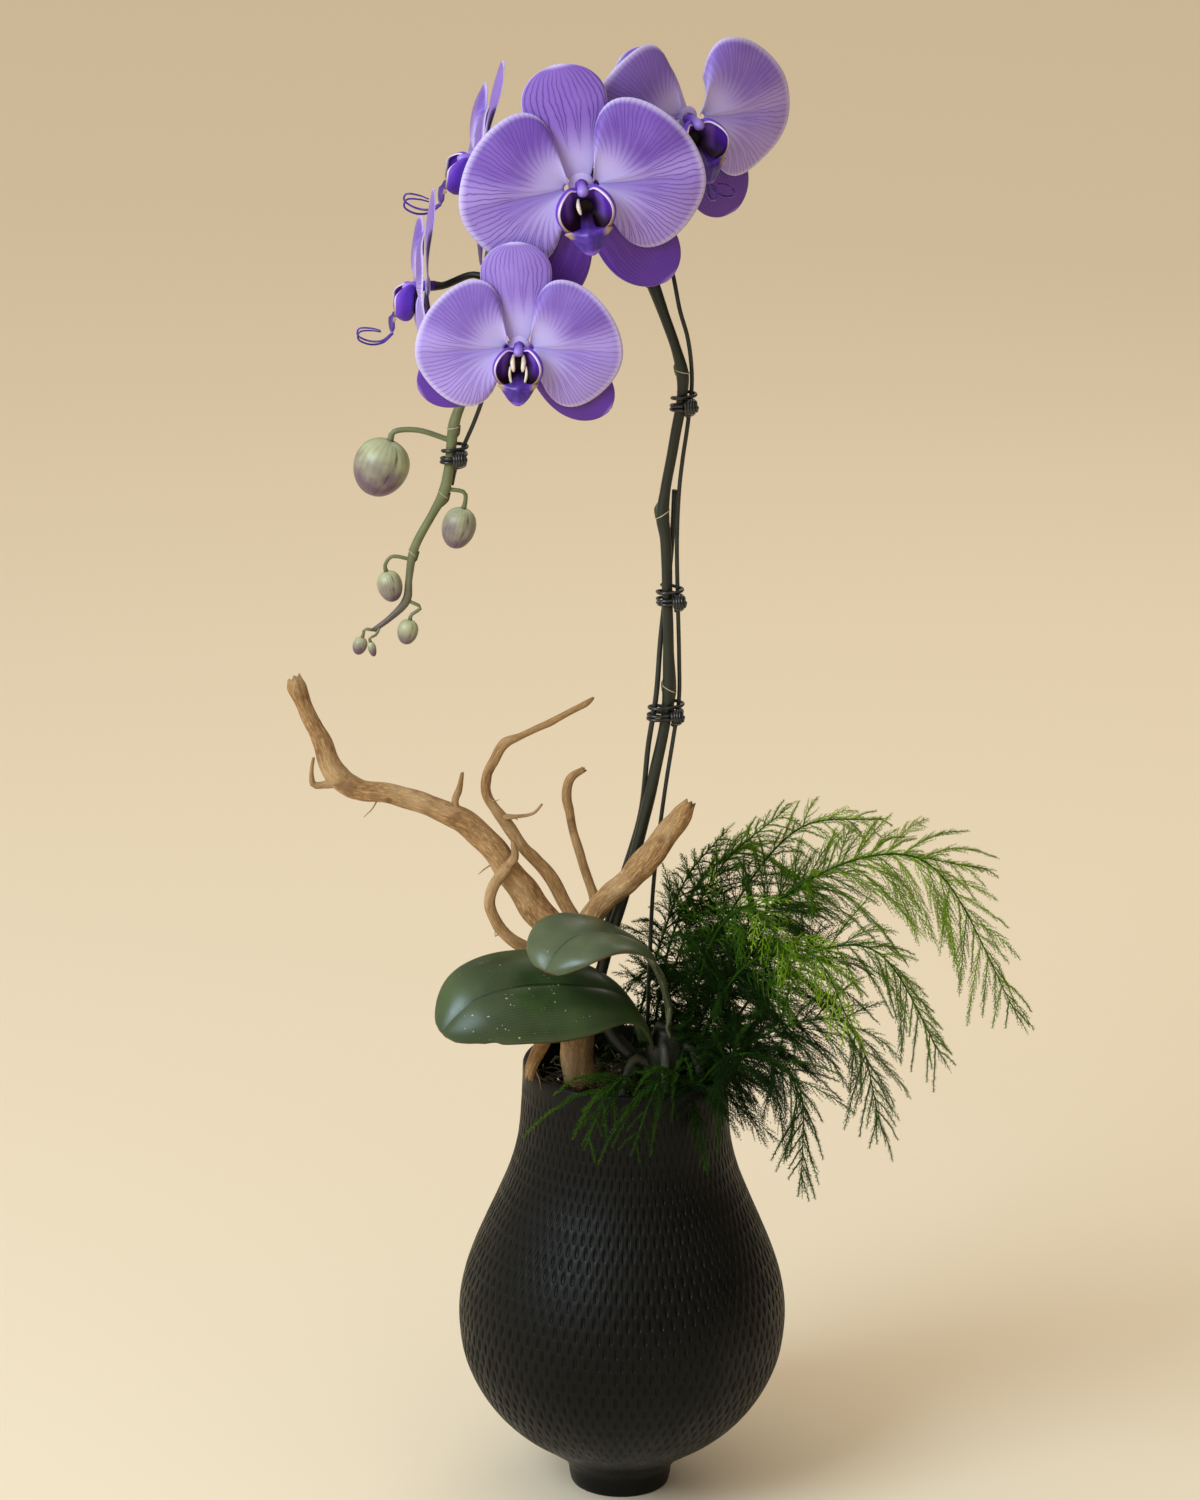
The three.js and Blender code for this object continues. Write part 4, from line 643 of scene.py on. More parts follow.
def vase_look():
    look = Look("vase_look", roughness=0.5)
    look.set("Specular IOR Level", 0.17)
    spot = look.add("SeparateXYZ", {0: look.add("TexCoord", {}).outputs["Object"]}).outputs
    turn = look.math("ARCTAN2", spot[1], spot[0])
    columns = look.times(turn, DIMPLE_COLUMNS / (2 * math.pi))
    rows = look.place(0)
    scoop = look.math("MAXIMUM", scoop_depth(look, columns, rows, 0), scoop_depth(look, columns, rows, 0.5))
    scoop = look.times(look.ease(scoop, 0, 0.6), look.place(1))
    speck = look.noise(900, 3)
    colour = look.mix(look.ease(look.noise(26, 3), 0.3, 0.7), srgb(3, 4, 3), srgb(9, 10, 8))
    # Painted shade: the scoops are coloured near black, standing for the shade inside the carved hollows.
    colour = look.mix(look.times(scoop, 0.85), colour, srgb(1, 1, 1))
    look.set("Base Color", look.mix(look.ease(speck, 0.66, 0.78, 0, 0.3), colour, srgb(36, 40, 36)))
    look.set("Roughness", look.ease(look.noise(120, 3), 0.3, 0.7, 0.36, 0.5))
    height = look.plus(look.times(scoop, -4), look.times(speck, 0.35))
    look.bump(height, 0.5, 0.0002)
    return look.material


# ---------------------------------------------------------------- tools for meshes

def unit(vectors):
    return vectors / np.maximum(np.linalg.norm(vectors, axis=-1, keepdims=True), 1e-9)


def mix(a, b, t):
    return a + (b - a) * t


def ease(value, low, high):
    t = np.clip((value - low) / (high - low), 0, 1)
    return t * t * (3 - 2 * t)


def as_array(point):
    return np.asarray(point, float)


class Path:
    """A centripetal Catmull-Rom curve through knots. Columns past the third are mixed linearly."""
    STEPS = 20

    def __init__(self, knots):
        knots = np.asarray(knots, float)
        self.knots = knots
        xyz = knots[:, :3]
        first, last = 2 * xyz[0] - xyz[1], 2 * xyz[-1] - xyz[-2]
        padded = np.vstack([first, xyz, last])
        w = np.arange(self.STEPS)[:, None] / self.STEPS
        pieces = []
        for k in range(len(xyz) - 1):
            p0, p1, p2, p3 = padded[k:k + 4]
            gaps = [max(np.linalg.norm(b - a), 1e-4) ** 0.5 for a, b in ((p0, p1), (p1, p2), (p2, p3))]
            g0, g1, g2 = gaps
            start = ((p1 - p0) / g0 - (p2 - p0) / (g0 + g1) + (p2 - p1) / g1) * g1
            end = ((p2 - p1) / g1 - (p3 - p1) / (g1 + g2) + (p3 - p2) / g2) * g1
            pieces.append(p1 + start * w + (-3 * p1 + 3 * p2 - 2 * start - end) * w ** 2
                          + (2 * p1 - 2 * p2 + start + end) * w ** 3)
        self.xyz = np.vstack([*pieces, xyz[-1:]])
        steps = np.linalg.norm(np.diff(self.xyz, axis=0), axis=1)
        self.reached = np.concatenate([[0], np.cumsum(steps)])
        self.length = self.reached[-1]
        spot = np.arange(len(self.xyz)) / self.STEPS
        columns = [np.interp(spot, np.arange(len(knots)), knots[:, c]) for c in range(3, knots.shape[1])]
        self.extra = np.stack(columns, axis=1) if columns else np.zeros((len(self.xyz), 0))
        self.tangents = unit(np.gradient(self.xyz, axis=0))

    def at_knot(self, index):
        spot = index * self.STEPS
        return np.array([np.interp(spot, np.arange(len(self.xyz)), self.xyz[:, c]) for c in range(3)])

    def sample(self, shares):
        """Points, tangents and extra columns at shares of the length."""
        where = np.asarray(shares) * self.length
        def read(table):
            return np.stack([np.interp(where, self.reached, table[:, c]) for c in range(table.shape[1])], -1)
        extra = read(self.extra) if self.extra.shape[1] else None
        return read(self.xyz), unit(read(self.tangents)), extra


def carried_sides(tangents, start=None):
    """A direction square to each tangent, turned as little as possible from one to the next."""
    side = as_array(start) if start is not None else np.cross(tangents[0], [0.31, -0.52, 0.79])
    sides = []
    for tangent in tangents:
        side = side - tangent * side.dot(tangent)
        side = side / max(np.linalg.norm(side), 1e-9)
        sides.append(side)
    return np.array(sides)


class Shape:
    """Points and faces gathered before one mesh is made of them."""

    def __init__(self):
        self.points, self.places, self.tones, self.faces, self.looks = [], [], [], [], []
        self.count = 0

    def add(self, points, faces, look=0, place=None, tone=0.0):
        points = np.asarray(points, float).reshape(-1, 3)
        self.points.append(points)
        place = np.zeros_like(points) if place is None else np.asarray(place, float).reshape(-1, 3)
        self.places.append(place)
        self.tones.append(np.broadcast_to(np.asarray(tone, float), (len(points),)))
        for group in faces:
            group = np.asarray(group, int)
            if len(group):
                self.faces.append(group + self.count)
                self.looks.append(np.full(len(group), look))
        self.count += len(points)

    def make(self, name, materials, slot, replaced=()):
        mesh = bpy.data.meshes.new(name)
        mesh.vertices.add(self.count)
        mesh.vertices.foreach_set("co", (np.concatenate(self.points) * MM).ravel())
        corners = np.concatenate([group.ravel() for group in self.faces])
        totals = np.concatenate([np.full(len(group), group.shape[1]) for group in self.faces])
        mesh.loops.add(len(corners))
        mesh.loops.foreach_set("vertex_index", corners)
        mesh.polygons.add(len(totals))
        mesh.polygons.foreach_set("loop_start", np.concatenate([[0], np.cumsum(totals)[:-1]]))
        mesh.polygons.foreach_set("material_index", np.concatenate(self.looks))
        mesh.polygons.foreach_set("use_smooth", np.full(len(totals), True))
        mesh.update(calc_edges=True)
        place = mesh.attributes.new("place", "FLOAT_VECTOR", "POINT")
        place.data.foreach_set("vector", np.concatenate(self.places).ravel())
        tone = mesh.attributes.new("tone", "FLOAT", "POINT")
        tone.data.foreach_set("value", np.concatenate(self.tones))
        mesh.validate()
        for material in materials:
            mesh.materials.append(material)
        piece = bpy.data.objects.new(name, mesh)
        bpy.context.scene.collection.objects.link(piece)
        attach(piece, "root")
        if replaced:
            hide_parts(*replaced)
        return piece


def grid_faces(rows, columns, closed=False):
    """Quads between neighbouring rows of a grid of points, closed round or open."""
    i, j = np.meshgrid(np.arange(rows - 1), np.arange(columns if closed else columns - 1), indexing="ij")
    after = (j + 1) % columns
    return np.stack([i * columns + j, i * columns + after, (i + 1) * columns + after,
                     (i + 1) * columns + j], -1).reshape(-1, 4)


def closed_rings(rings, sides):
    """Faces of a stack of rings, with a flat face at each end."""
    around = np.arange(sides)
    return [grid_faces(rings, sides, True), around[::-1][None], ((rings - 1) * sides + around)[None]]


def add_tube(shape, path, sides, step, look=0, radius=None, relief=None, tone=0.0, scale=None, ragged=0.0):
    """A round tube along a path, closed at both ends. Place holds the distance along it (as a share
    if scale is given) and the cosine and sine of the way round."""
    count = max(3, round(path.length / step) + 1)
    shares = np.linspace(0, 1, count)
    at, along, extra = path.sample(shares)
    radii = extra[:, 0] if radius is None else np.full(count, float(radius))
    side = carried_sides(along)
    over = np.cross(along, side)
    angles = 2 * math.pi * np.arange(sides) / sides
    cosine, sine = np.cos(angles), np.sin(angles)
    reach = np.repeat(radii[:, None], sides, 1)
    if relief is not None:
        reach = reach * relief(shares[:, None] * path.length, angles[None, :])
    out = cosine[None, :, None] * side[:, None] + sine[None, :, None] * over[:, None]
    rings = at[:, None] + reach[..., None] * out
    if ragged:
        rings[-1] += along[-1] * (ragged * np.sin(3.7 * angles + 1) * np.cos(1.9 * angles))[:, None]
    travel = shares * (scale if scale is not None else path.length)
    place = np.stack([np.repeat(travel[:, None], sides, 1), np.repeat(cosine[None], count, 0),
                      np.repeat(sine[None], count, 0)], -1)
    sunk = 0.6 * ragged
    ends = np.array([at[0], at[-1] - along[-1] * sunk])
    points = np.vstack([rings.reshape(-1, 3), ends])
    places = np.vstack([place.reshape(-1, 3), [[travel[0], 0, 0], [travel[-1], 0, 0]]])
    around = np.arange(sides)
    after = (around + 1) % sides
    first, last = count * sides, count * sides + 1
    start_cap = np.stack([after, around, np.full(sides, first)], -1)
    base = (count - 1) * sides
    end_cap = np.stack([base + around, base + after, np.full(sides, last)], -1)
    shape.add(points, [grid_faces(count, sides, True), start_cap, end_cap], look, places, tone)


def add_blade(shape, grid, thickness, look=0, place=None, tone=0.0, edge=0.3):
    """A closed blade about a grid of points, thinner toward its edges."""
    rows, columns = grid.shape[:2]
    normal = unit(np.cross(np.gradient(grid, axis=0), np.gradient(grid, axis=1)))
    inward = np.minimum(np.minimum(np.arange(rows)[:, None], np.arange(rows)[::-1, None]),
                        np.minimum(np.arange(columns)[None], np.arange(columns)[::-1][None]))
    half = thickness / 2 * mix(edge, 1, np.clip(inward / 3, 0, 1) ** 0.5)
    offset = normal * half[..., None]
    points = np.vstack([(grid + offset).reshape(-1, 3), (grid - offset).reshape(-1, 3)])
    total = rows * columns
    top = grid_faces(rows, columns)
    under = top[:, ::-1] + total
    border = np.concatenate([
        np.arange(columns), np.arange(1, rows) * columns + columns - 1,
        (rows - 1) * columns + np.arange(columns - 1)[::-1], np.arange(1, rows - 1)[::-1] * columns,
    ])
    after = np.roll(border, -1)
    sides = np.stack([after, border, border + total, after + total], -1)
    if place is not None:
        place = np.vstack([place.reshape(-1, 3)] * 2)
    front, back = tone if isinstance(tone, tuple) else (tone, tone)
    shape.add(points, [top, under, sides], look, place, np.repeat([front, back], total))


def add_ball(shape, centre, radii, look=0, axis=UP, rings=10, sides=14, tone=0.0):
    """An egg-shaped ball; radii are across and along its axis. Place holds the share along the axis."""
    axis = unit(as_array(axis))
    side = unit(np.cross(axis, [0.3, 0.9, 0.2]))
    over = np.cross(axis, side)
    turn = np.linspace(0.03, math.pi - 0.03, rings)
    angles = 2 * math.pi * np.arange(sides) / sides
    across = radii[0] * np.sin(turn)[:, None, None]
    points = (as_array(centre) + across * (np.cos(angles)[None, :, None] * side
                                           + np.sin(angles)[None, :, None] * over)
              - radii[1] * np.cos(turn)[:, None, None] * axis)
    place = np.zeros_like(points)
    place[..., 0] = (turn / math.pi)[:, None]
    shape.add(points, closed_rings(rings, sides), look, place, tone)


# ---------------------------------------------------------------- vase and medium

vase_path = Path([[r, 0, z] for r, z in VASE_PROFILE])


def vase_radius(height):
    return float(np.interp(height, vase_path.xyz[:, 2], vase_path.xyz[:, 0]))


def dimple_relief(angle, travel):
    """How deep the carving is: rows of upright oval scoops, each row half a scoop aside."""
    deepest = np.zeros(np.broadcast(angle, travel).shape)
    for shift in (0, 0.5):
        rows = travel / DIMPLE_PITCH + shift
        columns = angle / (2 * math.pi) * DIMPLE_COLUMNS + shift
        x, y = (columns % 1 - 0.5) / SCOOP_WIDTH, (rows % 1 - 0.5) / SCOOP_HEIGHT
        uneven = 0.85 + 0.15 * np.sin(12.9 * np.floor(columns) + 4.1 * np.floor(rows))
        deepest = np.maximum(deepest, np.clip(1 - x ** 2 - y ** 2, 0, 1) ** 0.6 * uneven)
    return deepest


def make_vase(look):
    around = DIMPLE_COLUMNS * 7
    rows = round(vase_path.length / 1.65)
    angles = 2 * math.pi * np.arange(around) / around
    shares = np.linspace(0, 1, rows)
    line, along, _ = vase_path.sample(shares)
    outward = np.stack([along[:, 2], np.zeros(rows), -along[:, 0]], -1)
    fade = ease(shares, 0.04, 0.34) * (1 - 0.45 * ease(shares, 0.8, 1.0)) * (1 - ease(shares, 0.985, 1.0))
    travel = (shares * vase_path.length)[:, None]
    carve = DIMPLE_DEPTH * fade[:, None] * dimple_relief(angles[None, :], travel)
    rim = vase_path.xyz[-1, 0]
    flat = np.ones((1, around))

    def ring(radius, height):
        return radius * flat, height * flat, 0 * flat, 0 * flat

    foot = [ring(2, 0.6), ring(FOOT_RADIUS - 3, 0.5), ring(FOOT_RADIUS - 2, 0), ring(FOOT_RADIUS - 0.3, 0.1),
            ring(FOOT_RADIUS, 0.7), ring(FOOT_RADIUS + 0.6, 3.5), ring(FOOT_RADIUS + 1, 7)]
    carved = (line[:, 0, None] - carve * outward[:, 0, None], line[:, 2, None] - carve * outward[:, 2, None],
              travel / DIMPLE_PITCH + 0 * flat, fade[:, None] + 0 * flat)
    lip = [ring(rim, 196), ring(rim - 0.1, 198.6), ring(rim - 0.5, 199.6), ring(rim - 1.1, VASE_HEIGHT),
           ring(rim - 2.1, VASE_HEIGHT), ring(rim - 2.8, 199.5), ring(rim - RIM_WALL, 198)]
    inside = [ring(vase_radius(z) - INNER_WALL, z) for z in (192, 180, 158, 118, 82, 50)]
    rings = [*foot, carved, *lip, *inside, ring(26, 16), ring(2, 16)]
    radius, height, row, depth = (np.vstack([one[k] for one in rings]) for k in range(4))
    points = np.stack([radius * np.cos(angles), radius * np.sin(angles), height], -1)
    shape = Shape()
    shape.add(points, closed_rings(len(radius), around), 0, np.stack([row, depth, 0 * row], -1))
    return shape.make("vase_carved", [look], "vase", ["vase"])


def make_litter(looks):
    """Bark, moss and white grit that lie on the planting medium."""
    random = np.random.default_rng(5)
    shape = Shape()
    reach = vase_radius(MEDIUM_TOP) - INNER_WALL - 3
    for _ in range(BARK_FLAKES):
        radius, angle = reach * math.sqrt(random.random()), 2 * math.pi * random.random()
        height = MEDIUM_TOP + 3 * random.random()
        centre = np.array([radius * math.cos(angle), radius * math.sin(angle), height])
        size = random.uniform([2.2, 1.6, 0.9], [6.5, 3.8, 2.2]) / 2
        turned = np.linalg.qr(random.normal(size=(3, 3)))[0]
        turned = unit(turned * [1, 1, 0.5] + [0, 0, 0.2])
        corners = np.array([[x, y, z] for x in (-1, 1) for y in (-1, 1) for z in (-1, 1)])
        corners = corners * size * random.uniform(0.7, 1.15, (8, 3))
        faces = [[0, 1, 3, 2], [4, 6, 7, 5], [0, 4, 5, 1], [2, 3, 7, 6], [0, 2, 6, 4], [1, 5, 7, 3]]
        grit = random.random() < GRIT_SHARE
        scale = GRIT_SCALE if grit else 1
        shape.add(centre + corners @ turned * scale, [faces], 1 if grit else 0)
    for _ in range(MOSS_STRANDS):
        radius, angle = reach * math.sqrt(random.random()), 2 * math.pi * random.random()
        start = np.array([radius * math.cos(angle), radius * math.sin(angle), MEDIUM_TOP + 1])
        way = unit(np.append(random.normal(size=2), 0.8)) * random.uniform(4, 13)
        sag = start + way * [1.5, 1.5, 0.6]
        flat = math.hypot(sag[0], sag[1])
        if flat > reach:
            sag[:2] *= reach / flat
        add_tube(shape, Path([start, start + way * 0.7, sag]), 4, 3, 2, radius=0.3)
    return shape.make("planting_litter", looks, "growing_medium")


# ---------------------------------------------------------------- orchid

spike_path = Path(SPIKE)
spike_knots = np.array(SPIKE, float)


def flower_axes(flower):
    """The flower's right, up and out, and its centre."""
    out = unit(as_array(flower["facing"]))
    up = unit(UP - out * out[2])
    right = np.cross(up, out)
    turn = math.radians(flower["turn"])
    turned_right = right * math.cos(turn) + up * math.sin(turn)
    turned_up = up * math.cos(turn) - right * math.sin(turn)
    return np.array([turned_right, turned_up, out]) * flower["size"], as_array(flower["centre"])


class Bloom(Shape):
    """A shape given in a flower's own axes."""

    def __init__(self, flower):
        super().__init__()
        self.axes, self.centre = flower_axes(flower)

    def add(self, points, *rest, **more):
        points = np.asarray(points, float).reshape(-1, 3)
        super().add(points @ self.axes + self.centre, *rest, **more)


def petal_grid(side, phase, raised=0, highest=PETAL_HIGHEST):
    """A broad petal as a fan about its claw, and its place values."""
    s = np.linspace(-0.985, 0.985, PETAL_COLUMNS)[None, :]
    u = np.linspace(0.05, 1, PETAL_ROWS)[:, None]
    angle = np.radians(mix(PETAL_LOWEST, highest, (s + 1) / 2))
    blunt = math.radians(PETAL_BLUNTNESS)
    aside = np.hypot(angle - math.radians(PETAL_FURTHEST), blunt) - blunt
    slope = np.where(angle > math.radians(PETAL_FURTHEST), PETAL_SLOPE_ABOVE, PETAL_SLOPE_BELOW)
    outline = PETAL_LENGTH * (1 - slope * aside) * (1 - np.abs(s) ** 9) ** 0.35
    r = u * outline
    wave = 1.4 * u ** 2 * np.sin(3 * angle + 0.6) + 0.5 * u ** 4 * np.sin(9 * angle + phase)
    fold = np.exp(-((angle - math.radians(PETAL_FOLD)) / 0.14) ** 2)
    fold = fold * np.sin(math.pi * np.clip(u * 1.1, 0, 1))
    depth = 1 + 4.5 * np.sin(0.75 * math.pi * u) - 2.5 * u ** 3 + wave - 1.3 * fold
    lift = math.radians(raised)
    grid = np.stack([side * (CLAW * math.cos(lift) + r * np.cos(angle + lift)),
                     CLAW * math.sin(lift) + r * np.sin(angle + lift), depth], -1)
    edge = np.maximum(u, np.abs(s) ** 6 * ease(r, 4, 16))
    place = np.stack(np.broadcast_arrays(r / PETAL_LENGTH, (s + 1) / 2, edge), -1)
    return (grid if side > 0 else grid[:, ::-1]), (place if side > 0 else place[:, ::-1])


def sepal_grid(length, angle, phase, half_width, fullest):
    """A long oval sepal behind the petals, and its place values."""
    u = np.linspace(0, 1, SEPAL_ROWS)[:, None]
    v = np.linspace(-1, 1, SEPAL_COLUMNS)[None, :]
    t = np.sin(u * math.pi / 2) ** 0.9
    y = 1 + (length - 1) * t
    below = 0.22 + 0.78 * np.sin(np.clip(t / fullest, 0, 1) * math.pi / 2) ** 1.2
    above = np.sqrt(np.clip(1 - (np.clip(t - fullest, 0, 1) / (1 - fullest)) ** 2, 0, 1))
    width = np.maximum(half_width * below * above, 0.5)
    across = v * width
    depth = -1.8 + 1.6 * np.sin(math.pi * t) - 3 * t ** 2 - 0.006 * across ** 2
    depth = depth + 0.35 * np.sin(6 * t + 2 * v + phase) * t
    turn = math.radians(angle)
    x = y * math.cos(turn) + across * math.sin(turn)
    grid = np.stack([x, y * math.sin(turn) - across * math.cos(turn), depth + 0 * x], -1)
    edge = np.maximum(t ** 2, np.abs(v) ** 3)
    place = np.stack(np.broadcast_arrays(t, (v + 1) / 2, edge), -1)
    return grid, place


def make_petals(number, flower, looks):
    bloom = Bloom(flower)
    pale = flower["pale"]
    left_petal = flower.get("left_petal", (0, PETAL_HIGHEST))
    for side, shape in ((1, (0, PETAL_HIGHEST)), (-1, left_petal)):
        grid, place = petal_grid(side, 1.3 * number + side, *shape)
        add_blade(bloom, grid, PETAL_THICKNESS, 0, place, pale)
    half_width = flower.get("upper_half_width", UPPER_SEPAL["half_width"])
    grid, place = sepal_grid(flower["upper_length"], 90 + flower["upper"], number, half_width,
                             UPPER_SEPAL["fullest"])
    add_blade(bloom, grid, PETAL_THICKNESS, 1, place, pale)
    left, right = flower["lower"]
    for angle in (180 + left, -right):
        grid, place = sepal_grid(angle=angle, phase=number + angle, **LOWER_SEPAL)
        add_blade(bloom, grid, PETAL_THICKNESS, 2, place, 0.4 * pale)
    add_tube(bloom, Path([[0, 0, 1.2], [0, 0, -3], [0, 0, -HUB_RADIUS - 1]]), 12, 1.5, 2, radius=2.7)
    add_ball(bloom, [0, 0, -1.6], (5.4, 1.6), 0, axis=[0, 0, 1], sides=24)
    bloom.places[-1] = bloom.places[-1] * 0.1 + [0, PETAL_CREASE + 0.03, 0]
    return bloom.make(f"flower_{number}_corolla", looks, "petals", [f"flower_{number}_petals"])


def make_lip(number, flower, looks):
    """Cup of two side lobes with pale rims, callus, arrow-shaped front lobe, tendrils and column."""
    bloom = Bloom(flower)
    s = np.linspace(0, 1, 26)[:, None]
    for side in (1, -1):
        degrees = np.linspace(LIP_LOBE_LOWEST, LIP_LOBE_HIGHEST, 40)[None, :]
        angle = np.radians(degrees)
        swell = LIP_CUP_RADIUS * mix(0.3, 1, np.sin(0.68 * math.pi * s))
        ends = 1 - 0.22 * ease(np.abs(degrees), 55, LIP_LOBE_HIGHEST) * s
        x = side * (swell * np.cos(angle) * ends - 0.35 + 2.2 * ease(degrees, 55, LIP_LOBE_HIGHEST) * s)
        y = LIP_CUP_MIDDLE + LIP_CUP_FLATNESS * swell * np.sin(angle) * ends
        z = mix(4.6, LIP_CUP_FRONT - 8.5 * ease(np.abs(degrees + 6), 22, 92), s)
        grid = np.stack([x, y, z], -1)
        height = (degrees - LIP_LOBE_LOWEST) / (LIP_LOBE_HIGHEST - LIP_LOBE_LOWEST)
        place = np.stack(np.broadcast_arrays(s, height, np.abs(x) / LIP_CUP_RADIUS), -1)
        if side < 0:
            grid, place = grid[:, ::-1], place[:, ::-1]
        add_blade(bloom, grid, 0.9, 0, place, (0.0, 1.0))
        counts, tooth_size = flower["teeth"]
        for tooth in LIP_TEETH[:counts[0 if side < 0 else 1]]:
            knots = [[side * x, LIP_CUP_MIDDLE + (y + 9.5) * tooth_size, z, radius * tooth_size]
                     for x, y, z, radius in tooth]
            add_tube(bloom, Path(knots), 8, 0.7, 1)
    back = np.array([[0.2, 4.2], [3, 4], [5.4, 4.6], [6.6, 5.8]])
    turns = np.linspace(0, 2 * math.pi, 25)[None, :-1]
    dish = np.stack([back[:, 0, None] * np.cos(turns), LIP_CUP_MIDDLE + back[:, 0, None] * np.sin(turns),
                     back[:, 1, None] + 0 * turns], -1)
    lower = dish[::-1] - [0, 0, 1]
    rings = np.concatenate([dish, lower])
    bloom.add(rings, closed_rings(8, 24), 0)
    t = np.linspace(0, 1, 24)[:, None]
    v = np.linspace(-1, 1, 15)[None, :]
    widths = np.interp(t, *LIP_TONGUE)
    x = v * widths
    ridge = 1.8 * (1 - np.abs(v)) ** 2 * np.sin(math.pi * np.clip(t, 0.05, 0.95))
    wing = ease(t, 0.3, 0.48) * (1 - ease(t, 0.52, 0.75))
    y = mix(-10, -25.5, t) + 2.2 * wing * v ** 2
    z = np.interp(t, [0, 0.42, 1], [7, 16.6, 17.2])
    grid = np.stack([x, y, z + ridge - 0.03 * x ** 2 + 1.6 * wing * v ** 2], -1)
    share = np.abs(v) * wing * ease(widths, 3.5, 9)
    add_blade(bloom, grid, 1.1, 2, np.stack([t + 0 * x, share, 0 * x], -1))
    curl = flower["tendrils"]
    for side in (1, -1) if curl else ():
        knots = np.array(LIP_TENDRIL) * [side, 1, 1, 1]
        knots[:, :3] = knots[0, :3] + (knots[:, :3] - knots[0, :3]) * curl
        add_tube(bloom, Path(knots), 7, 0.7, 2)
        bloom.places[-1] = bloom.places[-1] * 0 + [0.6, 0, 0]
    add_tube(bloom, Path([[0, 0.3, 1, 2], [0, 0.3, 4, 2], [0, 0, 7, 2.2], [0, -0.6, 9, 2.4],
                          [0, -1.3, 10.4, 2.1], [0, -1.9, 11, 1.1]]), 16, 0.7, 3, scale=1)
    return bloom.make(f"flower_{number}_lip_detail", looks, "lips", [f"flower_{number}_lip"])


def flower_stalk(flower):
    start = spike_path.at_knot(flower["root"])
    out = unit(as_array(flower["facing"]))
    back = as_array(flower["centre"]) - out * ((HUB_RADIUS + 1) * flower["size"] - 0.6)
    bend = (start + back) / 2 - out * 5 + UP * 3
    return Path([[*start, 1.7], [*bend, 1.5], [*(back - out * 4), 1.6], [*back, 2.2]])


def bud_stalk(bud):
    axis = unit(as_array(bud["tip"]))
    end = as_array(bud["centre"]) - axis * (bud["half"] - 0.3)
    neck = end - axis * (0.25 * bud["half"] + 0.9)
    radius = 0.5 + 0.06 * bud["radius"]
    return Path([[*spike_path.at_knot(bud["root"]), radius], [*bud["bow"], radius], [*neck, radius],
                 [*end, radius * 1.3]])


def make_orchid_stem(looks):
    shape = Shape()

    def wobble(along, angle):
        return 1 + 0.03 * np.sin(along / 9 + 2 * angle) + 0.02 * np.sin(3 * angle + along / 4)

    add_tube(shape, spike_path, 16, 2.2, 0, relief=wobble, scale=1)
    add_tube(shape, Path(CROWN), 16, 2.5, 0, relief=wobble, scale=0.1)
    for flower in FLOWERS:
        share = flower["root"] / len(SPIKE)
        add_tube(shape, flower_stalk(flower), 10, 2, 0, scale=0.02 + share)
    for bud in BUDS:
        add_tube(shape, bud_stalk(bud), 10, 1.5, 0, scale=0.02)
        shape.places[-1] = shape.places[-1] + [0.86, 0, 0]
    for knot, tilt in NODE_RINGS:
        at = spike_path.at_knot(knot)
        size = SPIKE[knot][3]
        along = unit(spike_path.at_knot(knot + 0.3) - spike_path.at_knot(knot - 0.3))
        side = unit(np.cross(along, [0, 1, 0]))
        over = np.cross(along, side)
        turns = np.linspace(0, 2 * math.pi, 25)[:, None]
        ring = (at + along * 1.2 + size * 1.02 * (np.cos(turns) * side + np.sin(turns) * over)
                + along * size * tilt * np.cos(turns))
        add_tube(shape, Path(ring), 6, 1, 1, radius=0.24)
        scale_tip = at + along * 7 + side * (size * 0.4)
        sheath = Path([[*(at + side * size * 0.55), 1.6], [*(at + along * 3.5 + side * size * 0.7), 1.5],
                       [*scale_tip, 0.3]])
        add_tube(shape, sheath, 8, 1.2, 2)
    return shape.make("orchid_stem_detail", looks, "orchid_stem", ["orchid_stem"])


def make_roots(looks):
    """Grey-green aerial roots from the crown down into the medium."""
    random = np.random.default_rng(12)
    shape = Shape()
    for k in range(ROOTS):
        angle = 2 * math.pi * k / ROOTS + random.uniform(-0.3, 0.3)
        way = np.array([math.cos(angle), math.sin(angle), 0])
        start = np.array([16, -14, random.uniform(202, 214)]) + way * 6
        bow = start + way * random.uniform(6, 9) + [0, 0, random.uniform(-3, 4)]
        low = bow + way * random.uniform(3, 6) - UP * random.uniform(12, 16)
        end = low + way * 1.5 - UP * (low[2] - MEDIUM_TOP + 3)
        for point in (low, end):
            flat = math.hypot(point[0], point[1])
            if flat > ROOT_REACH:
                point[:2] *= ROOT_REACH / flat
        add_tube(shape, Path([[*start, 1.9], [*bow, 2], [*low, 1.7], [*end, 1.5]]), 10, 1.6, 0,
                 relief=lambda along, angle: 1 + 0.08 * np.sin(along / 2.1 + 3 * angle))
    return shape.make("aerial_roots", looks, "orchid_stem")


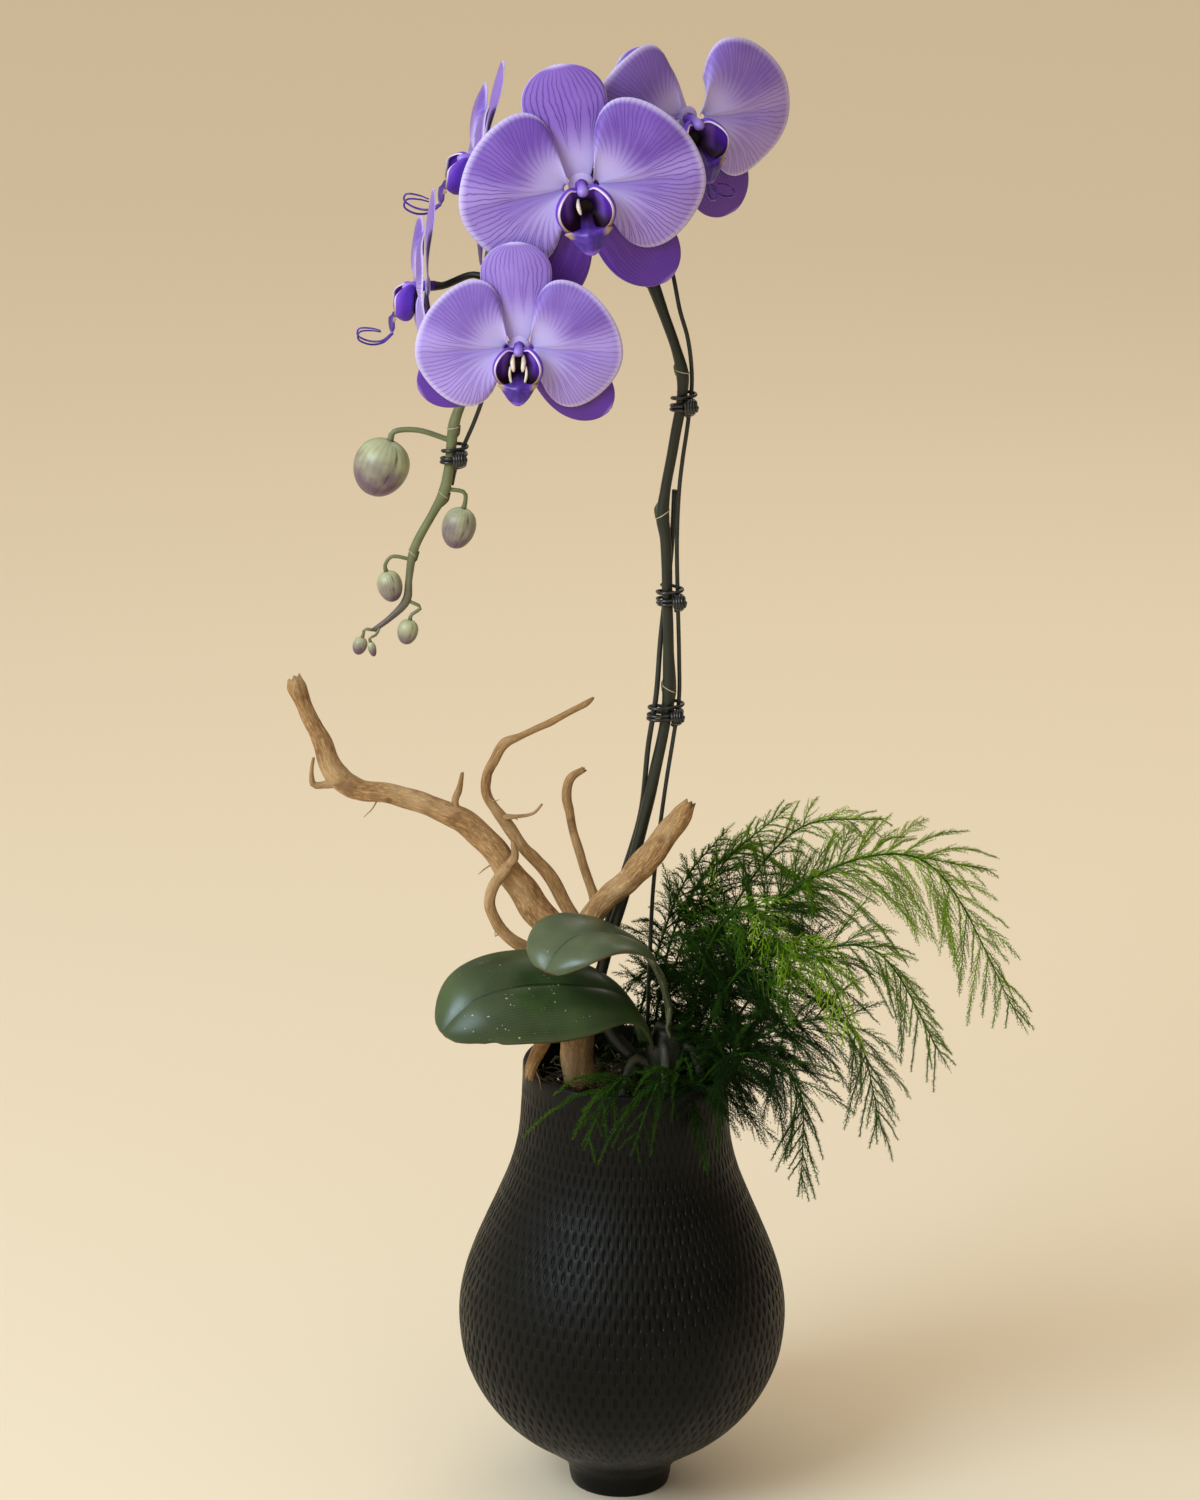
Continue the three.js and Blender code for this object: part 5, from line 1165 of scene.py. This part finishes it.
def make_leaf(name, leaf, look):
    rib = Path(leaf["midrib"])
    rows, columns, parts = 90, 41, 24
    t = np.linspace(0.001, 0.999, rows)
    place_on_rib, along, _ = rib.sample(t)
    level = unit(np.cross(UP, along))
    up = unit(np.cross(along, level))
    fullest = leaf["fullest"]
    swell = np.where(
        t < fullest,
        mix(0.24, 1, np.sin(np.clip(t / fullest, 0, 1) * math.pi / 2) ** 1.5),
        np.sqrt(np.clip(1 - (np.clip(t - fullest, 0, 1) / (1 - fullest)) ** 2.4, 0, 1)))
    width = np.maximum(leaf["half_width"] * swell, 0.6)[:, None]
    lift = leaf["roll"] * np.sin(math.pi / 2 * np.minimum(1, t * 1.8))[:, None]
    side = np.linspace(-1, 1, columns)[None, :]
    reach = np.abs(side) * width
    sign = np.sign(side)
    cosine = np.zeros((rows, columns))
    sine = np.zeros((rows, columns))
    for k in range(parts):
        share = (k + 0.5) / parts * np.abs(side)
        angle = np.radians(-sign * lift + leaf["crease"] - leaf["curl"] * share)
        cosine += np.cos(angle) / parts
        sine += np.sin(angle) / parts
    ripple = 0.5 * side ** 2 * np.sin(9 * t[:, None] + side)
    grid = (place_on_rib[:, None] + level[:, None] * (sign * cosine * reach)[..., None]
            + up[:, None] * (sine * reach + ripple)[..., None])
    edge = np.maximum(np.abs(side), t[:, None] ** 3)
    place = np.stack(np.broadcast_arrays(t[:, None], (side + 1) / 2, edge), -1)
    shape = Shape()
    add_blade(shape, grid, LEAF_THICKNESS, 0, place, leaf["painted_sheen_share"], edge=0.35)
    return shape.make(name + "_blade", [look], "leaves", [name])


def make_bud(number, bud, look):
    axis = unit(as_array(bud["tip"]))
    side = unit(np.cross(axis, [0, 1, 0]))
    over = np.cross(axis, side)
    rings, sides = 26, 36
    turn = np.linspace(0.04, math.pi - 0.02, rings)[:, None]
    angles = (2 * math.pi * np.arange(sides) / sides)[None, :]
    seam = np.abs(np.sin(1.5 * (angles + 0.9 + 0.25 * np.cos(turn))))
    groove = 1 - 0.07 * np.exp(-(seam / 0.16) ** 2) + 0.02 * np.sin(3 * angles)
    across = bud["radius"] * 1.03 * np.sin(turn) ** 0.9 * (1 + 0.12 * np.cos(turn)) * groove
    centre = as_array(bud["centre"])
    out = np.cos(angles)[..., None] * side + np.sin(angles)[..., None] * over
    points = centre + across[..., None] * out - (bud["half"] * np.cos(turn))[..., None] * axis
    place = np.stack(np.broadcast_arrays(turn / math.pi, seam, angles / (2 * math.pi)), -1)
    shape = Shape()
    shape.add(points, closed_rings(rings, sides), 0, place)
    return shape.make(f"bud_{number}_detail", [look], "buds", [f"bud_{number}"])


# ---------------------------------------------------------------- stakes and ties

def spike_at_height(height):
    upper = next(k for k in range(5, len(SPIKE)) if SPIKE[k][2] >= height)
    a, b = spike_knots[upper - 1], spike_knots[upper]
    t = (height - a[2]) / (b[2] - a[2])
    return mix(a[0], b[0], t), mix(a[1], b[1], t), max(a[3], b[3])


def lean_on_spike(x, z, radius):
    """The depth that lets a stake point lean on the back of the spike."""
    spike_x, spike_y, spike_radius = spike_at_height(z)
    apart = spike_radius + radius + STAKE_LEAN_GAP
    return [x, spike_y + math.sqrt(max(0, apart ** 2 - (x - spike_x) ** 2)), z]


def stake_paths():
    straight = [[-16, 12, 160], [-14, 10, 215]]
    straight += [lean_on_spike(x, z, STRAIGHT_STAKE_RADIUS) for x, z in STRAIGHT_STAKE]
    arch = [[9, 6, 160], [9.5, 5, 215]]
    arch += [lean_on_spike(x, z, ARCH_STAKE_RADIUS) for x, z in ARCH_STAKE]
    return {"stake_straight": straight, "stake_arch": [*arch, *ARCH_STAKE_END]}


def point_at_height(points, height, from_end):
    points = [as_array(p)[:3] for p in (points[::-1] if from_end else points)]
    k = next(k for k in range(len(points)) if points[k][2] >= height)
    a, b = points[k - 1], points[k]
    return mix(a, b, (height - a[2]) / (b[2] - a[2]))


def make_stakes(look):
    radii = {"stake_straight": STRAIGHT_STAKE_RADIUS, "stake_arch": ARCH_STAKE_RADIUS}
    for name, points in stake_paths().items():
        shape = Shape()
        add_tube(shape, Path(points), 12, 2.5, 0, radius=radii[name])
        shape.make(name + "_rod", [look], "stakes", [name])


def make_tie(number, tie, look):
    """Wire wound round spike and stakes, ending in a knotted ball."""
    tail = tie["on_tail"]
    stem = point_at_height(SPIKE, tie["height"], tail)
    axis = unit(point_at_height(SPIKE, tie["height"] + 8, tail) - stem)
    rods = [point_at_height(stake_paths()[name], tie["height"], tail) for name in tie["stakes"]]
    stem_radius = 2.6 if tail else 2.9

    def coil_point(angle, rise):
        way = np.array([math.cos(angle), math.sin(angle), 0])
        reach = max([stem_radius, *[(rod - stem).dot(way) + STRAIGHT_STAKE_RADIUS for rod in rods]])
        return stem + axis * rise + way * (reach + TIE_WIRE_RADIUS + 0.25)

    start = math.radians(TIE_START)
    steps = 70
    rise = np.linspace(-4.4, 4.4, steps) + 0.5 * np.sin(np.linspace(0, 9, steps))
    wire = [coil_point(start + 2 * math.pi * TIE_TURNS * k / steps, rise[k]) for k in range(steps)]
    way = np.array([math.cos(start), math.sin(start), 0])
    ball = coil_point(start, 0) + way * TIE_BALL_RADIUS * 0.8
    shape = Shape()
    add_tube(shape, Path(wire), 8, 0.9, 0, radius=TIE_WIRE_RADIUS)
    t = np.linspace(0, 1, 120)
    lift = mix(-0.92, 0.92, t)
    flat = np.sqrt(1 - lift ** 2)
    turn = 2 * math.pi * 5 * t
    spiral = ball + (TIE_BALL_RADIUS - 0.7) * np.stack([lift, flat * np.cos(turn), flat * np.sin(turn)], -1)
    add_tube(shape, Path(spiral), 6, 0.8, 0, radius=0.72)
    add_ball(shape, ball, (TIE_BALL_RADIUS - 0.9,) * 2, 0, rings=9, sides=12)
    for end in (wire[0], wire[-1]):
        add_tube(shape, Path([end, (end + ball) / 2 + axis * 0.6, ball]), 6, 0.9, 0, radius=TIE_WIRE_RADIUS)
    return shape.make(f"tie_{number}_wire", [look], "tie_wire", [f"tie_{number}"])


# ---------------------------------------------------------------- driftwood

def make_driftwood(look):
    random = np.random.default_rng(19)
    shape = Shape()
    for limb in DRIFTWOOD:
        phases = random.uniform(0, 6.28, 8)
        twist = random.uniform(0.012, 0.03)

        def relief(along, angle):
            grain = 0.035 * np.sin(5 * angle + along * twist * 6 + phases[0])
            grain += 0.03 * np.sin(9 * angle - along * twist * 9 + phases[1])
            lumps = 0.07 * np.sin(along / 7 + 2 * angle + phases[2]) * np.sin(along / 17 + phases[3])
            lumps += 0.05 * np.sin(along / 3.1 + angle + phases[4])
            knots = 0.16 * np.exp(-((np.mod(along + 9 * phases[5], 41) - 20) / 2.6) ** 2)
            return 1 + grain + lumps + knots * np.clip(np.cos(angle + phases[6]), 0, 1)

        path = Path(limb)
        start_radius = limb[0][3]
        add_tube(shape, path, 26 if start_radius > 3.5 else 16, 1.5, 0, relief=relief,
                 ragged=0.8 * min(limb[-1][3], 2))
        for _ in range(max(1, round(path.length / SPUR_SPACING))):
            share = random.uniform(0.12, 0.9)
            at, along, radius = (value[0] for value in path.sample([share]))
            way = unit(random.normal(size=3) * [1, 0.6, 0.8] + along * 0.4)
            length = random.uniform(3, 9)
            if at[2] < SPUR_LOWEST:
                continue
            knots = [[*(at + way * radius[0] * 0.5), 0.42], [*(at + way * (radius[0] + length * 0.5)), 0.3],
                     [*(at + way * (radius[0] + length) + random.normal(size=3) * 1.2), 0.14]]
            add_tube(shape, Path(knots), 5, 1.4, 0)
    return shape.make("driftwood_branches", [look], "driftwood", ["driftwood"])


# ---------------------------------------------------------------- fern

class Twigs:
    """Fine curved twigs of one frond, gathered so that their meshes are worked out all at once."""

    def __init__(self):
        self.rows = []

    def gather(self, start, way, bend, length, thick, needle, tone):
        count = len(start)
        columns = [start, way, bend, *[np.broadcast_to(np.asarray(value, float), (count,))[:, None]
                                       for value in (length, thick, needle, tone)]]
        self.rows.append(np.hstack(columns))

    def build(self, shape, random):
        rows = np.vstack(self.rows)
        start, way, bend = rows[:, 0:3], rows[:, 3:6], rows[:, 6:9]
        length, thick, needle, tone = rows[:, 9:].T
        count = len(rows)
        sections = np.array([0, 0.35, 0.7, 1.0])

        def at(s):
            return start + way * (length * s)[:, None] + bend * (length * s * s)[:, None]

        def along(s):
            return unit(way + 2 * bend * np.reshape(s, (-1, 1)))

        side = unit(np.cross(way, [0.37, 0.61, -0.7]))
        over = unit(np.cross(way, side))
        angles = 2 * math.pi * np.arange(3) / 3
        ring = np.cos(angles)[:, None, None] * side + np.sin(angles)[:, None, None] * over
        tube = [at(np.full(count, s)) + ring * (thick * (1 - 0.55 * s))[:, None] for s in sections[:-1]]
        tube = np.stack([*np.concatenate(tube), at(np.ones(count))], axis=1)
        quads = np.array([[r * 3 + k, r * 3 + (k + 1) % 3, r * 3 + 3 + (k + 1) % 3, r * 3 + 3 + k]
                          for r in range(2) for k in range(3)])
        ends = np.array([[6, 7, 9], [7, 8, 9], [8, 6, 9], [2, 1, 0]])
        first = (np.arange(count) * 10)[:, None, None]
        tones = np.repeat(tone[:, None], 10, 1) + np.repeat([-0.06, 0, 0.04, 0.08], [3, 3, 3, 1])
        shape.add(tube.reshape(-1, 3), [(first + quads).reshape(-1, 4), (first + ends).reshape(-1, 3)],
                  0, None, tones.ravel())

        nodes = np.maximum(2, np.round(length / NEEDLE_PITCH)).astype(int)
        owner = np.repeat(np.arange(count), nodes)
        order = np.arange(len(owner)) - np.repeat(np.cumsum(nodes) - nodes, nodes)
        share = (order + 0.3 + 0.5 * random.random(len(owner))) / nodes[owner]
        for turn in (0, 2.1, 4.2):
            spin = turn + 2.4 * order + random.normal(size=len(owner)) * 0.3
            foot = start[owner] + way[owner] * (length[owner] * share)[:, None]
            foot = foot + bend[owner] * (length[owner] * share ** 2)[:, None]
            ahead = unit(way[owner] + 2 * bend[owner] * share[:, None])
            out = np.cos(spin)[:, None] * side[owner] + np.sin(spin)[:, None] * over[owner]
            reach = needle[owner] * (1 - 0.45 * share) * random.uniform(0.7, 1.15, len(owner))
            tip = foot + reach[:, None] * (0.72 * ahead + 0.7 * out)
            square = unit(np.cross(ahead, out))
            corners = [foot - ahead * NEEDLE_RADIUS, foot + ahead * NEEDLE_RADIUS * 1.4,
                       foot + square * NEEDLE_RADIUS]
            cone = np.stack([*corners, tip], axis=1)
            faces = np.array([[0, 1, 3], [1, 2, 3], [2, 0, 3], [0, 2, 1]])
            all_faces = (np.arange(len(owner)) * 4)[:, None, None] + faces
            shades = np.repeat(tone[owner][:, None], 4, 1) + [0, 0, 0, 0.14]
            shape.add(cone.reshape(-1, 3), [all_faces.reshape(-1, 3)], 0, None, shades.ravel())


def fern_light(points, shade):
    """How bright green a spot of the fern is: dark in the shaded middle, light at its outside."""
    far = np.linalg.norm((points - FERN_CORE) * [1, 0.8, 1], axis=-1)
    lit = 0.1 + 0.72 * ease(far, *FERN_LIGHTENS)
    return np.clip(lit * (0.5 + 0.5 * ease(points[..., 2], *FERN_RISES)) + shade, 0.02, 0.95)


def grow_twigs(twigs, random, path, face, bare, longest, shade, style):
    """Twigs along both sides of a plume, long near its foot and short at its tip."""
    pitch, lean, flat, droop, thick, needle = style
    count = max(6, int(path.length * (1 - bare) / pitch))
    order = np.arange(count)
    shares = mix(bare, 0.99, (order + 0.5) / count)
    at, along, _ = path.sample(shares)
    side = unit(np.cross(face, along))
    over = np.cross(along, side)
    turn = random.normal(size=count) * flat
    lateral = (np.where(order % 2, 1, -1) * np.cos(turn))[:, None] * side + np.sin(turn)[:, None] * over
    tilt = np.radians(lean + random.normal(size=count) * 6)
    way = along * np.cos(tilt)[:, None] + lateral * np.sin(tilt)[:, None]
    taper = np.clip(0.5 + 3 * (shares - bare), 0, 1) * np.clip(0.24 + 1.1 * (1 - shares), 0, 1)
    length = longest * taper * random.uniform(0.72, 1.12, count)
    bend = 0.3 * along - 0.16 * lateral - droop * UP
    tone = fern_light(at, shade) + random.normal(size=count) * 0.05
    twigs.gather(at, way, bend, length, thick, needle, tone)
    last = path.sample([1.0])
    twigs.gather(last[0], last[1], -0.1 * UP[None], longest * 0.35, thick, needle,
                 fern_light(last[0], shade))


# Styles of plume: its twigs' spacing, lean (degrees), stray from flat, droop and radius, and the
# length of their needles.
FEATHER = (TWIG_PITCH, 33, 0.6, 0.14, TWIG_RADIUS, NEEDLE_LENGTH)
COMB = (1.9, 48, 0.25, 0.22, 0.36, 1.3)
FOXTAIL = (0.85, 28, 1.5, 0.05, TWIG_RADIUS, NEEDLE_LENGTH)


def grow_plume(shape, twigs, random, path, face, wide, shade, style):
    """One plume: its thin stalk and the twigs on it."""
    stalk = Path(np.column_stack([path.knots, [0.34, 0.3, 0.24, 0.14]]))
    add_tube(shape, stalk, 4, 5, 0, tone=float(fern_light(path.xyz[0], shade)))
    grow_twigs(twigs, random, path, face, 0.06, wide, shade, style)


def drooping(at, way, length, droop):
    return Path([at + way * s * length - UP * droop * s * s for s in (0, 0.35, 0.7, 1)])


def make_frond(number, frond, look):
    """An arching stem whose plumes droop to both sides, with short dark ones about its foot."""
    random = np.random.default_rng(400 + number)
    shape, twigs = Shape(), Twigs()
    foot, face = frond["foot"], unit(as_array(frond["face"]))
    stem = Path([[*foot, MEDIUM_TOP - 8, 0.9], [*foot, MEDIUM_TOP + 6, 0.8], [*frond["via"][0], 0.6],
                 [*frond["via"][1], 0.42], [*frond["tip"], 0.2]])
    add_tube(shape, stem, 6, 5, 0, tone=0.25)
    strands = STRANDS.get(number, [])
    grow_twigs(twigs, random, stem, face, max(frond["bare"], 0.45), 5 if strands else 12, 0,
               FOXTAIL if strands else FEATHER)
    for tip in strands:
        at = stem.sample([random.uniform(0.3, 0.6)])[0][0]
        tip = as_array(tip)
        over = (at + tip) / 2 + [0, -5, 9]
        path = Path([at, over, mix(over, tip, 0.55) + [0, -2, 3], tip])
        wide, shade = random.uniform(3.2, 5), random.uniform(0.02, 0.2)
        grow_plume(shape, twigs, random, path, face, wide, shade, FOXTAIL)
    plumes = 2 * frond["plumes"]
    for k in range(plumes):
        share = (k + 0.5) / plumes
        at, along, _ = (value[0] for value in stem.sample([mix(frond["bare"], 0.97, share)]))
        sideways = unit(np.cross(face, along)) * (1 if k % 2 else -1)
        length = frond["reach"] * min(0.55 + 2 * share, 1.25 - 0.95 * share) * random.uniform(0.6, 1.15)
        angle = math.radians(mix(52, 28, share) + random.uniform(-12, 12))
        way = along * math.cos(angle) + sideways * math.sin(angle) + face * random.uniform(-0.5, 0.5)
        path = drooping(at, way, length, random.uniform(0.15, 0.6) * length)
        comb = number in COMBS and share > 0.35
        shade = random.uniform(-0.12, 0.12) + (0.24 if comb else 0)
        manner = COMB if comb else (FOXTAIL if random.random() < 0.4 else FEATHER)
        wide = length * (0.34 if comb else 0.3 if manner is FEATHER else 0.16)
        grow_plume(shape, twigs, random, path, face, wide, shade, manner)
    for _ in range(0 if strands else INNER_PLUMES):
        at = stem.sample([random.uniform(0.08, 0.5)])[0][0]
        outward = unit(random.normal(size=3) * [1, 0.9, 0.55] + [0.5, -0.5, 0.15])
        length = random.uniform(20, 34)
        path = drooping(at, outward, length, random.uniform(0.1, 0.5) * length)
        grow_plume(shape, twigs, random, path, unit(random.normal(size=3)), 0.36 * length,
                   random.uniform(-0.08, 0.06), FEATHER)
    twigs.build(shape, random)
    return shape.make(f"fern_frond_{number}_plumes", [look], "fern", [f"fern_frond_{number}"])


# ---------------------------------------------------------------- the scene

add_camera()
add_studio()

make_vase(vase_look())
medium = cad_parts["growing_medium"]
bark_look = plain_look("bark_look", srgb(22, 16, 11), srgb(58, 42, 28), 220, 0.9, 0.6)
medium.data.materials.clear()
medium.data.materials.append(bark_look)
make_litter([
    bark_look,
    plain_look("grit_look", srgb(190, 184, 168), srgb(226, 222, 210), 400, 0.8),
    plain_look("moss_look", srgb(46, 44, 20), srgb(92, 88, 38), 300, 0.85),
])
make_orchid_stem([
    stem_look(),
    plain_look("node_ring_look", srgb(150, 140, 112), srgb(184, 174, 146), 300, 0.6),
    plain_look("bract_look", srgb(44, 52, 32), srgb(84, 86, 58), 200, 0.5),
])
make_roots([plain_look("root_look", srgb(40, 44, 32), srgb(80, 82, 64), 160, 0.6, 0.3)])
leaf_material = leaf_look()
for leaf_name, leaf_data in LEAVES.items():
    make_leaf(leaf_name, leaf_data, leaf_material)
flower_materials = petal_looks()
lip_materials = lip_looks()
for flower_number, flower_data in enumerate(FLOWERS, 1):
    make_petals(flower_number, flower_data, flower_materials)
    make_lip(flower_number, flower_data, lip_materials)
bud_material = bud_look()
for bud_number, bud_data in enumerate(BUDS, 1):
    make_bud(bud_number, bud_data, bud_material)
make_stakes(plain_look("stake_look", srgb(14, 20, 15), srgb(30, 38, 30), 120, 0.4))
wire_look = plain_look("wire_look", srgb(10, 11, 12), srgb(22, 23, 25), 200, 0.28, 0.1, 0.3)
for tie_number, tie_data in enumerate(TIES, 1):
    make_tie(tie_number, tie_data, wire_look)
make_driftwood(wood_look())
fern_material = fern_look()
for frond_number, frond_data in enumerate(FRONDS, 1):
    make_frond(frond_number, frond_data, fern_material)
